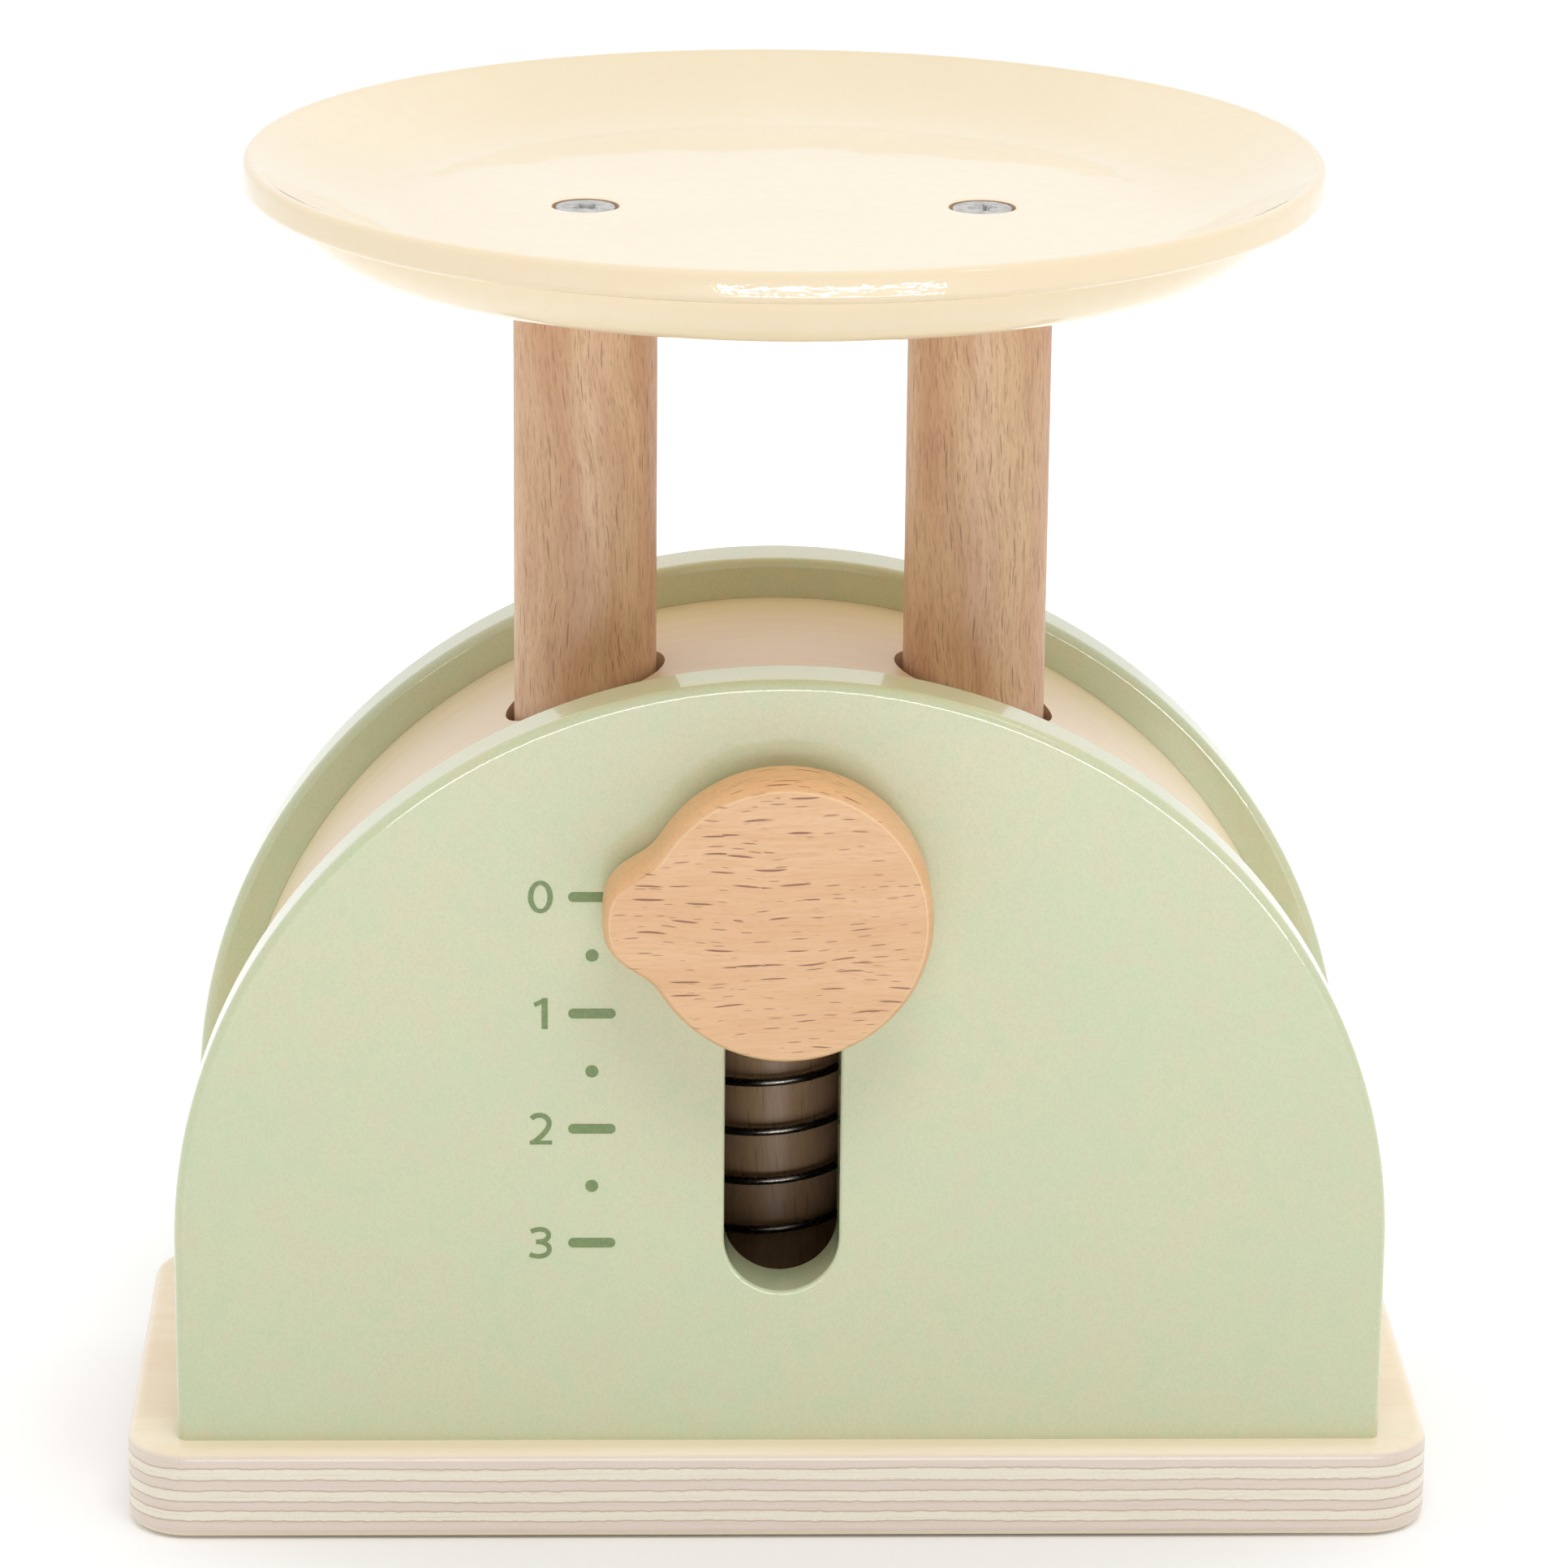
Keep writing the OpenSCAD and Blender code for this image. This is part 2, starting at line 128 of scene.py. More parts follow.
POINTER_EDGE_DEPTH = 2.6 * MM
POINTER_EDGE_FROM = math.radians(14)
BEAK_LEN = -pointer_lo.x - POINTER_R
BEAK_ANGLE = math.radians(19)
BEAK_FULLNESS = 3.2

# Tray
TRAY_R = (tray_hi.x - tray_lo.x) / 2
TRAY_H = tray_hi.z - tray_lo.z
TRAY_FLOOR_T = 4.2 * MM
TRAY_SLOPE_W = 20 * MM
RIM_H = 3.9 * MM
RIM_EDGE_R = 0.9 * MM
RIM_INNER_DEGREES = 29
RIM_LOWER_R = 1.1 * MM
RIM_LEAN = 0.12 * MM
RIM_OVERHANG = 5.6 * MM
BOWL_ROUND_W = 7.4 * MM
COUNTERSINK_LIP_R = 0.8 * MM
COUNTERSINK_R = 5 * MM
COUNTERSINK_LACQUER = 0.2 * MM

# Spring
WIRE_R = 0.55 * MM
SPRING_R = GUIDE_R + 1.5 * MM
SPRING_START = math.radians(40)
OPEN_TURNS = 8.5
END_PITCH = 1.7 * MM

# Screws
HEAD_DROP = 0.2 * MM
HEAD_LIP = 0.3 * MM
HEAD_EDGE = 0.12 * MM
SHANK_MAX_R = 1.75 * MM
NECK_LEN = 5 * MM
THREAD_PITCH = 1.35 * MM
THREAD_DEPTH = 0.45 * MM
THREAD_STEEPNESS = 2.6
TIP_R = 0.05 * MM
# Length of the tip's taper in shank radii, and the least share of the radius that it goes down to
TIP_TAPER = 4
TIP_LEAST = 0.08
RECESS_DEPTH = 2.2 * MM
# Arms of the cross recess as shares of the head's radius, and its core as a share of an arm's half width
RECESS_REACH = 0.5
RECESS_ARM = 0.14
RECESS_CORE = 1.5
# Scale and height of the recess's rings, from above the head down to its bottom
RECESS_RINGS = ((1.08, OVER), (1, 0), (0.62, -0.72 * RECESS_DEPTH), (0.22, -RECESS_DEPTH))

# Printed scale
INK_T = 0.05 * MM
INK_SUNK = 0.02 * MM
TICK_FROM_X = -26.7 * MM
TICK_TO_X = -20.8 * MM
TICK_H = 1.27 * MM
DOT_R = 0.8 * MM
DOT_LEN = 0.02 * MM
NUMERAL_X = -30.1 * MM
SCALE_RAISE = 0.3 * MM
SCALE_STEPS = 3

# Fineness of the meshes
ARCH_STEPS = 160
ROUND_STEPS = 6
CORNER_STEPS = 12
SLOT_END_STEPS = 32
TRAY_STEPS = 20
CAP_STEPS = 5
CAP_STEP = math.radians(16)
CURVE_STEPS = 4
HOLE_SIDES = 64
TURNED_SIDES = 96
POST_SIDES = 128
TRAY_SIDES = 256
POINTER_SIDES = 240
SCREW_SIDES = 40
THREAD_RINGS = 8
WIRE_RINGS = 40
WIRE_SIDES = 14
# Edges that turn by more are shaded as creases
SHARP_ANGLE = math.radians(38)
CREASE_ANGLE = math.radians(28)
# Points nearer than this are one, and corners nearer to straight are no corners
WELD = 1e-7
STRAIGHT = math.radians(0.1)


def srgb(red, green, blue):
    """Linear colour of a colour written as 0 to 255."""
    def linear(level):
        value = level / 255
        return value / 12.92 if value <= 0.04045 else ((value + 0.055) / 1.055) ** 2.4
    return (linear(red), linear(green), linear(blue), 1)


# Shapes: each is a list of points and a list of faces

def loft(rings, closed=False):
    """Surface through rings of the same number of points, with flat ends unless it is closed."""
    count = len(rings[0])
    rows = len(rings)
    points = [Vector(point) for ring in rings for point in ring]
    faces = []
    for row in range(rows if closed else rows - 1):
        here = row * count
        there = (row + 1) % rows * count
        for k in range(count):
            after = (k + 1) % count
            faces.append((here + k, here + after, there + after, there + k))
    if not closed:
        faces.append(tuple(reversed(range(count))))
        faces.append(tuple(range((rows - 1) * count, rows * count)))
    return points, faces


def lathe(profile, sides=TURNED_SIDES, place=Matrix()):
    """Solid turned about its Z axis from (radius, height) pairs."""
    turns = [2 * math.pi * k / sides for k in range(sides)]
    return loft([
        [place @ Vector((radius * math.cos(a), radius * math.sin(a), height)) for a in turns]
        for radius, height in profile
    ])


def rod(radius, low, high, sides=TURNED_SIDES, place=Matrix()):
    """Plain round cutter."""
    return lathe([(radius, low), (radius, high)], sides, place)


def arc(centre, radii, start, end, steps=ROUND_STEPS):
    """Points of an arc of a circle or ellipse, angles in degrees."""
    angles = [math.radians(start + (end - start) * k / steps) for k in range(steps + 1)]
    return [(centre[0] + radii[0] * math.cos(a), centre[1] + radii[1] * math.sin(a)) for a in angles]


def quarter_round(radius):
    """Inset and depth of the points of a round edge."""
    turns = [math.pi / 2 * k / ROUND_STEPS for k in range(ROUND_STEPS + 1)]
    return [(radius * (1 - math.sin(a)), radius * (1 - math.cos(a))) for a in turns]


def both_faces(edge, thickness):
    """Layers of a board whose edge is the same at both faces."""
    return edge + [(inset, thickness - depth) for inset, depth in reversed(edge)]


def rounded_layers(thickness, radius):
    """Inset and height of each layer of a board with round edges."""
    return both_faces(quarter_round(radius), thickness)


def arch_outline(inset, drop=0):
    """Outline of the arch from its right foot over to its left, drawn in by inset."""
    half = PANEL_W / 2 - inset
    over = arc((0, SHOULDER_Z), (half, ARCH_RISE - inset), 0, 180, ARCH_STEPS)
    return [(half, BASE_TOP - drop)] + over + [(-half, BASE_TOP - drop)]


def arch_band(outer, inner, y_from, y_to, drop=0):
    """Band that follows the arch between two insets."""
    outline = arch_outline(outer, drop) + arch_outline(inner, drop)[::-1]
    return loft([[(x, y, z) for x, z in outline] for y in (y_from, y_to)])


def arched_board(lo, hi):
    """Arched board with round edges and a flat foot."""
    return loft([
        [(x, lo.y + height, z) for x, z in arch_outline(inset)]
        for inset, height in rounded_layers(hi.y - lo.y, PANEL_EDGE_R)
    ])


def rounded_rectangle(half_w, half_d, radius):
    """Outline of a rectangle with round corners."""
    corners = ((1, 1, 0), (-1, 1, 90), (-1, -1, 180), (1, -1, 270))
    return [
        point
        for sx, sy, start in corners
        for point in arc((sx * (half_w - radius), sy * (half_d - radius)), (radius, radius),
                         start, start + 90, CORNER_STEPS)
    ]


def stadium(half_w, low, high):
    """Upright outline with round ends, as (x, z) pairs."""
    top = arc((0, high - half_w), (half_w, half_w), 0, 180, SLOT_END_STEPS)
    bottom = arc((0, low + half_w), (half_w, half_w), 180, 360, SLOT_END_STEPS)
    return top + bottom


def slot_cutter():
    """Upright slot through the front panel, flared at both faces."""
    rings = []
    for wider, depth in both_faces([(SLOT_EDGE_R, -OVER)] + quarter_round(SLOT_EDGE_R), PANEL_T):
        outline = stadium(SLOT_R + wider, SLOT_BOTTOM - wider, SLOT_TOP + wider)
        rings.append([(x, front_lo.y + depth, z) for x, z in outline])
    return loft(rings)


def upright(x, y, z, down=False):
    """Place of a turned piece at a point, upside down if down."""
    turn = Matrix.Rotation(math.pi, 4, "X") if down else Matrix()
    return Matrix.Translation((x, y, z)) @ turn


def forwards(y, z):
    """Place of a turned piece on the pointer's axis, whose height runs to the front."""
    return Matrix.Translation((0, y, z)) @ Matrix.Rotation(math.pi / 2, 4, "X")


# Objects

def tidy(mesh):
    """Welds, drops slivers and needless points on edges, and turns all faces outwards."""
    work = bmesh.new()
    work.from_mesh(mesh)
    bmesh.ops.remove_doubles(work, verts=work.verts, dist=WELD)
    bmesh.ops.dissolve_degenerate(work, edges=work.edges, dist=WELD)
    spare = [v for v in work.verts if len(v.link_edges) == 2 and v.calc_edge_angle() < STRAIGHT]
    bmesh.ops.dissolve_verts(work, verts=spare)
    uneven = [f for f in work.faces if any(c.calc_angle() > math.pi - STRAIGHT for c in f.loops)]
    bmesh.ops.triangulate(work, faces=uneven, ngon_method="BEAUTY")
    bmesh.ops.recalc_face_normals(work, faces=work.faces)
    work.to_mesh(mesh)
    work.free()


def make(name, shape):
    """New object of a closed shape."""
    points, faces = shape
    mesh = bpy.data.meshes.new(name)
    mesh.from_pydata([tuple(point) for point in points], [], faces)
    tidy(mesh)
    obj = bpy.data.objects.new(name, mesh)
    bpy.context.scene.collection.objects.link(obj)
    return obj


def combine(obj, shapes, operation):
    """obj's mesh with each closed shape cut out of it or joined to it."""
    tools = [make(obj.name + "_tool", shape) for shape in shapes]
    for tool in tools:
        change = obj.modifiers.new("combine", "BOOLEAN")
        change.operation = operation
        change.solver = "EXACT"
        change.object = tool
    graph = bpy.context.evaluated_depsgraph_get()
    before = obj.data
    obj.data = bpy.data.meshes.new_from_object(obj.evaluated_get(graph))
    obj.modifiers.clear()
    bpy.data.meshes.remove(before)
    for tool in tools:
        bpy.data.meshes.remove(tool.data)
    tidy(obj.data)
    return obj


def cut(obj, *shapes):
    return combine(obj, shapes, "DIFFERENCE")


def dress(obj, node, material, sharp=SHARP_ANGLE):
    """Shades a piece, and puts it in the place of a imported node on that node's body."""
    obj.data.name = obj.name
    obj.data.shade_smooth()
    obj.data.set_sharp_from_angle(angle=sharp)
    normals = obj.modifiers.new("normals", "WEIGHTED_NORMAL")
    normals.keep_sharp = True
    obj.data.materials.clear()
    obj.data.materials.append(material)
    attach(obj, BODIES[node])
    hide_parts(node)
    return obj


# Screws

class Screw:
    """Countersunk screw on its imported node's place and sizes, with its recess turned by some degrees."""

    def __init__(self, node, heads_down, turn):
        lo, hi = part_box(node)
        self.node = node
        self.turn = math.radians(turn)
        self.head_r = (hi.x - lo.x) / 2
        self.length = hi.z - lo.z
        self.shank_r = min(self.head_r / 2, SHANK_MAX_R)
        self.neck = -HEAD_LIP - (self.head_r - self.shank_r)
        x = (lo.x + hi.x) / 2
        y = (lo.y + hi.y) / 2
        self.place = upright(x, y, lo.z if heads_down else hi.z, heads_down)

    def hole(self, lip_r=0):
        """Cutter for the screw's hole, with a countersink whose lip may be rounded."""
        hole_r = self.shank_r + FIT_GAP
        mouth_r = hole_r + HEAD_DROP - self.neck
        bottom = [(hole_r, self.neck), (hole_r, -self.length - FIT_GAP)]
        if lip_r == 0:
            return lathe([(mouth_r + OVER - HEAD_DROP, OVER)] + bottom, HOLE_SIDES, self.place)
        reach = mouth_r + lip_r * math.tan(math.pi / 8)
        lip = arc((reach, HEAD_DROP - lip_r), (lip_r, lip_r), 91, 135)
        return lathe([(lip[0][0] + FIT_GAP, OVER)] + lip + bottom, TURNED_SIDES, self.place)

    def recess(self):
        """Cutter for the cross recess, tapered towards its bottom."""
        reach = self.head_r * RECESS_REACH
        arm = self.head_r * RECESS_ARM
        outline = []
        for quarter in range(4):
            a = self.turn + math.pi / 2 * quarter
            along = Vector((math.cos(a), math.sin(a), 0))
            aside = Vector((-math.sin(a), math.cos(a), 0))
            outline += [along * reach - aside * arm, along * reach + aside * arm,
                        along * arm * RECESS_CORE + aside * arm * RECESS_CORE]
        return loft([
            [self.place @ (point * scale + Vector((0, 0, height))) for point in outline]
            for scale, height in RECESS_RINGS
        ])

    def body(self):
        """Head, smooth neck, threaded shank and tip."""
        thread_top = self.neck - NECK_LEN
        tip_z = -self.length
        taper_z = tip_z + TIP_TAPER * self.shank_r
        profile = [(self.head_r - HEAD_EDGE, 0), (self.head_r, -HEAD_EDGE), (self.head_r, -HEAD_LIP),
                   (self.shank_r, self.neck), (self.shank_r, thread_top)]
        rings = [self.turned(radius, height) for radius, height in profile]
        steps = round((thread_top - tip_z) / THREAD_PITCH * THREAD_RINGS)
        for k in range(1, steps):
            z = thread_top + (tip_z - thread_top) * k / steps
            shrink = min(1, max(TIP_LEAST, (z - tip_z) / (taper_z - tip_z)))
            rings.append(self.turned(self.shank_r * shrink, z, THREAD_DEPTH * shrink))
        rings.append(self.turned(TIP_R, tip_z))
        return loft(rings)

    def turned(self, radius, height, thread=0):
        """Ring of the screw, cut by the thread's groove."""
        ring = []
        for k in range(SCREW_SIDES):
            a = 2 * math.pi * k / SCREW_SIDES
            phase = (height / THREAD_PITCH - k / SCREW_SIDES) % 1
            groove = thread * min(1, THREAD_STEEPNESS * min(phase, 1 - phase))
            r = radius - groove
            ring.append(self.place @ Vector((r * math.cos(a), r * math.sin(a), height)))
        return ring


SCREWS = {
    "screw_front_left": Screw("front_panel_screw_left", True, 20),
    "screw_front_right": Screw("front_panel_screw_right", True, 65),
    "screw_back_left": Screw("back_panel_screw_left", True, 48),
    "screw_back_right": Screw("back_panel_screw_right", True, 5),
    "screw_guide": Screw("guide_post_screw", True, 33),
    "screw_carriage_left": Screw("carriage_screw_left", True, 12),
    "screw_carriage_right": Screw("carriage_screw_right", True, 71),
    "screw_tray_left": Screw("tray_screw_left", False, 40),
    "screw_tray_right": Screw("tray_screw_right", False, 10),
}


def add_screws(steel):
    for name, screw in SCREWS.items():
        obj = make(name, screw.body())
        cut(obj, screw.recess())
        dress(obj, screw.node, steel)


# Pieces of the case

def holes(*names):
    return [SCREWS[name].hole() for name in names]


def add_base_board(material):
    layers = rounded_layers(base_hi.z - base_lo.z, BASE_EDGE_R)
    obj = make("base_board", loft([
        [(x, y, base_lo.z + height) for x, y in rounded_rectangle(
            base_hi.x - inset, base_hi.y - inset, BASE_CORNER_R - inset)]
        for inset, height in layers
    ]))
    socket = rod(GUIDE_R + FIT_GAP, guide_lo.z, BASE_TOP + OVER)
    cut(obj, socket, *holes("screw_front_left", "screw_front_right", "screw_back_left",
                            "screw_back_right", "screw_guide"))
    dress(obj, "base_plate", material)


def cover_groove(y_from, y_to):
    """Cutter for the groove that holds the cover's edge."""
    return arch_band(COVER_INSET - GROOVE_GAP, COVER_INSET + COVER_T + GROOVE_GAP, y_from, y_to, OVER)


def add_front_board(material):
    obj = make("front_board", arched_board(front_lo, front_hi))
    groove = cover_groove(front_hi.y - GROOVE_DEPTH, front_hi.y + OVER)
    cut(obj, slot_cutter(), groove, *holes("screw_front_left", "screw_front_right"))
    dress(obj, "front_panel", material)


def add_back_board(material):
    obj = make("back_board", arched_board(back_lo, back_hi))
    groove = cover_groove(back_lo.y - OVER, back_lo.y + GROOVE_DEPTH)
    cut(obj, groove, *holes("screw_back_left", "screw_back_right"))
    dress(obj, "back_panel", material)


def post_rods(radius, low, high):
    """Cutters about both posts' axes."""
    return [rod(radius, low, high, place=upright(x, 0, 0)) for x in (-POST_X, POST_X)]


def add_cover_sheet(material):
    obj = make("cover_sheet", arch_band(COVER_INSET, COVER_INSET + COVER_T, cover_lo.y, cover_hi.y))
    cut(obj, *post_rods(POST_HOLE_R, SHOULDER_Z, cover_hi.z + OVER))
    dress(obj, "arch_cover", material)


def dowel(radius, low, high, chamfer):
    """Profile of a dowel with chamfered ends."""
    return [(radius - chamfer, low), (radius, low + chamfer),
            (radius, high - chamfer), (radius - chamfer, high)]


def add_guide_dowel(material):
    obj = make("guide_dowel", lathe(dowel(GUIDE_R, guide_lo.z, guide_hi.z, DOWEL_CHAMFER)))
    cut(obj, *holes("screw_guide"))
    dress(obj, "guide_post", material)


# Pieces of the weighing unit

def add_post_dowels(material):
    for side, x in (("left", -POST_X), ("right", POST_X)):
        profile = dowel(POST_R, post_lo.z, post_hi.z, DOWEL_CHAMFER)
        obj = make(side + "_dowel", lathe(profile, POST_SIDES, upright(x, 0, 0)))
        cut(obj, *holes("screw_carriage_" + side, "screw_tray_" + side))
        dress(obj, side + "_post", material)


def add_sliding_block(material):
    def outline(inset):
        w = block_hi.x - inset
        d = block_hi.y - inset
        c = BLOCK_CHAMFER - inset * (2 - math.sqrt(2))
        return [(w - c, -d), (w, c - d), (w, d - c), (w - c, d),
                (c - w, d), (-w, d - c), (-w, c - d), (c - w, -d)]
    layers = rounded_layers(block_hi.z - block_lo.z, BLOCK_EDGE_R)
    obj = make("sliding_block", loft([
        [(x, y, block_lo.z + height) for x, y in outline(inset)] for inset, height in layers
    ]))
    bore = rod(GUIDE_BORE_R, block_lo.z - OVER, block_hi.z + OVER)
    sockets = post_rods(POST_R + FIT_GAP, SOCKET_Z, block_hi.z + OVER)
    peg_hole = rod(PEG_R + FIT_GAP, 0, 2 * (peg_hi.y - block_lo.y), HOLE_SIDES,
                   forwards(peg_hi.y + FIT_GAP, PEG_Z))
    cut(obj, bore, *sockets, peg_hole, *holes("screw_carriage_left", "screw_carriage_right"))
    dress(obj, "carriage", material)


def add_short_peg(material):
    profile = dowel(PEG_R, 0, peg_hi.y - peg_lo.y, DOWEL_CHAMFER)
    obj = make("short_peg", lathe(profile, TURNED_SIDES, forwards(peg_hi.y, PEG_Z)))
    dress(obj, "pointer_peg", material)


def add_pointer_disc(material):
    def outline(inset):
        points = []
        for k in range(POINTER_SIDES):
            a = 2 * math.pi * k / POINTER_SIDES
            from_beak = abs(math.pi - a)
            r = POINTER_R + BEAK_LEN * math.exp(-(from_beak / BEAK_ANGLE) ** BEAK_FULLNESS) - inset
            points.append((r * math.cos(a), r * math.sin(a)))
        return points
    span = math.pi / 2 - POINTER_EDGE_FROM
    turns = [POINTER_EDGE_FROM + span * k / ROUND_STEPS for k in range(ROUND_STEPS + 1)]
    edge = [(POINTER_EDGE_IN * (1 - math.sin(a)), POINTER_EDGE_DEPTH * (math.cos(turns[0]) - math.cos(a)))
            for a in turns]
    obj = make("pointer_disc", loft([
        [(x, pointer_lo.y + height, PEG_Z + z) for x, z in outline(inset)]
        for inset, height in both_faces(edge, POINTER_T)
    ]))
    depth = pointer_hi.y - peg_lo.y + FIT_GAP
    cut(obj, rod(PEG_R + FIT_GAP, -OVER, depth, HOLE_SIDES, forwards(pointer_hi.y, PEG_Z)))
    dress(obj, "pointer", material, CREASE_ANGLE)


def tray_profile():
    """Section of the tray from its underside round the band to its floor."""
    band_z = TRAY_H - RIM_H
    bowl_r = TRAY_R - RIM_OVERHANG
    edge_r = TRAY_R - RIM_LEAN - RIM_EDGE_R
    floor_r = TRAY_R - TRAY_SLOPE_W
    band_face = RIM_H - RIM_LOWER_R - RIM_EDGE_R
    lower = (RIM_LOWER_R, RIM_LOWER_R)
    upper = (RIM_EDGE_R, RIM_EDGE_R)
    crest = arc((edge_r, TRAY_H - RIM_EDGE_R), upper, 6, 90 + RIM_INNER_DEGREES, 16)
    crest_r, crest_z = crest[-1]
    inside = []
    for k in range(1, TRAY_STEPS + 1):
        u = 1 - k / TRAY_STEPS
        rise = (crest_z - TRAY_FLOOR_T) * (1 - math.cos(math.pi / 2 * u))
        inside.append((floor_r + (crest_r - floor_r) * u, TRAY_FLOOR_T + rise))
    return (
        arc((bowl_r - BOWL_ROUND_W, band_z), (BOWL_ROUND_W, band_z), -90, 0, TRAY_STEPS)
        + arc((TRAY_R - RIM_LOWER_R, band_z + RIM_LOWER_R), lower, -90, -2, 10)
        + arc((TRAY_R - RIM_LEAN, band_z + RIM_LOWER_R), (RIM_LEAN, band_face), 10, 60, 5)
        + crest + inside
    )


def add_turned_tray(material, bare_and_shaded_wood):
    obj = make("turned_tray", lathe(tray_profile(), TRAY_SIDES, upright(0, 0, tray_lo.z)))
    cut(obj, *[SCREWS[name].hole(COUNTERSINK_LIP_R) for name in ("screw_tray_left", "screw_tray_right")])
    dress(obj, "tray", material)
    # The countersinks get bare beech, darkened as painted shade for the shadow gap round the screw heads.
    obj.data.materials.append(bare_and_shaded_wood)
    for face in obj.data.polygons:
        middle = face.center
        from_screw = math.hypot(abs(middle.x) - POST_X, middle.y)
        below = tray_lo.z + TRAY_FLOOR_T - middle.z
        if from_screw < COUNTERSINK_R and COUNTERSINK_LACQUER < below:
            face.material_index = 1


def add_spring_coil(material):
    """Coil of round wire, close wound over its first and last turn."""
    turns = OPEN_TURNS + 2
    low = spring_lo.z + WIRE_R
    open_pitch = (spring_hi.z - spring_lo.z - 2 * WIRE_R - 2 * END_PITCH) / OPEN_TURNS
    count = round(turns * WIRE_RINGS)
    path = []
    for k in range(count + 1):
        t = turns * k / count
        a = SPRING_START + 2 * math.pi * t
        wide = min(max(t - 1, 0), OPEN_TURNS)
        height = low + END_PITCH * (t - wide) + open_pitch * wide
        path.append(Vector((SPRING_R * math.cos(a), SPRING_R * math.sin(a), height)))
    rings = []
    for k, point in enumerate(path):
        way = (path[min(k + 1, count)] - path[max(k - 1, 0)]).normalized()
        side = way.cross(Vector((0, 0, 1))).normalized()
        rise = side.cross(way)
        rings.append([point + WIRE_R * (math.cos(a) * side + math.sin(a) * rise)
                      for a in (2 * math.pi * s / WIRE_SIDES for s in range(WIRE_SIDES))])
    obj = make("spring_coil", loft(rings))
    dress(obj, "spring", material)
    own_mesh(obj)


# Printed scale

def stroke(path, ends="square"):
    """Flat ink line through (x, z, width) points in millimetres, with square or round ends, or closed."""
    closed = ends == "closed"

    def way(k):
        after = path[(k + 1) % len(path)] if closed else path[min(k + 1, len(path) - 1)]
        before = path[k - 1] if closed else path[max(k - 1, 0)]
        return Vector((after[0] - before[0], after[1] - before[1])).normalized()

    lines = [(path[k][0], path[k][1], path[k][2] / 2, way(k)) for k in range(len(path))]
    if ends == "round":
        lines = cap(lines[0], -1)[::-1] + lines + cap(lines[-1], 1)
    rings = []
    for x, z, half, along in lines:
        aside = Vector((-along.y, along.x)) * half
        edges = [(x + aside.x, z + aside.y), (x - aside.x, z - aside.y)]
        rings.append(
            [(ex * MM, front_lo.y - INK_T, ez * MM) for ex, ez in edges]
            + [(ex * MM, front_lo.y + INK_SUNK, ez * MM) for ex, ez in edges[::-1]]
        )
    return loft(rings, closed)


def cap(line, sign):
    """Narrowing lines past the end of a stroke."""
    x, z, half, along = line
    rounds = []
    for k in range(1, CAP_STEPS + 1):
        a = CAP_STEP * k
        out = sign * half * math.sin(a)
        rounds.append((x + along.x * out, z + along.y * out, half * math.cos(a), along))
    return rounds


def widths(points, width):
    """Stroke's points, all of one width."""
    return [(x, z, width) for x, z in points]


def numeral_strokes(digit):
    """Strokes of a plain numeral about its own middle, in millimetres."""
    if digit == 0:
        ring = []
        for x, z in arc((0, 0), (1.2, 1.84), 0, 360, 48)[:-1]:
            ring.append((x, z, 0.54 + 0.14 * (x / 1.2) ** 2))
        return [(ring, "closed")]
    if digit == 1:
        stem = widths([(0.5, 2.02), (0.5, 0), (0.5, -2.02)], 0.76)
        flag = widths([(0.5, 1.75), (0.05, 1.52), (-0.78, 1.12)], 0.55)
        return [(stem, "square"), (flag, "square")]
    if digit == 2:
        hook = [(-1.16, 1.36), (-0.84, 1.62), (-0.42, 1.77), (0.1, 1.77), (0.6, 1.56), (0.93, 1.17),
                (1.03, 0.7), (0.9, 0.17), (0.5, -0.48), (-0.13, -1.16), (-0.95, -1.86)]
        foot = widths([(-1.36, -1.83), (0, -1.83), (1.4, -1.83)], 0.5)
        return [(widths(smooth(hook), 0.64), "square"), (foot, "square")]
    upper = [(-1.24, 1.5), (-0.65, 1.74), (0, 1.79), (0.62, 1.6), (0.95, 1.16), (0.86, 0.66),
             (0.46, 0.29), (-0.16, 0.14), (-0.62, 0.12)]
    lower = [(-0.62, 0.12), (0, 0.1), (0.64, -0.16), (1.03, -0.66), (0.96, -1.22), (0.5, -1.66),
             (-0.23, -1.83), (-0.95, -1.73), (-1.4, -1.56)]
    return [(widths(smooth(upper), 0.6), "square"), (widths(smooth(lower), 0.6), "square")]


def smooth(points):
    """Curve through the points."""
    padded = [points[0]] + points + [points[-1]]
    curve = []
    for k in range(1, len(padded) - 2):
        a, b, c, d = (Vector(point) for point in padded[k - 1:k + 3])
        for s in range(CURVE_STEPS):
            t = s / CURVE_STEPS
            curve.append(tuple(0.5 * (2 * b + (c - a) * t + (2 * a - 5 * b + 4 * c - d) * t * t
                                      + (3 * b - a - 3 * c + d) * t ** 3)))
    return curve + [points[-1]]


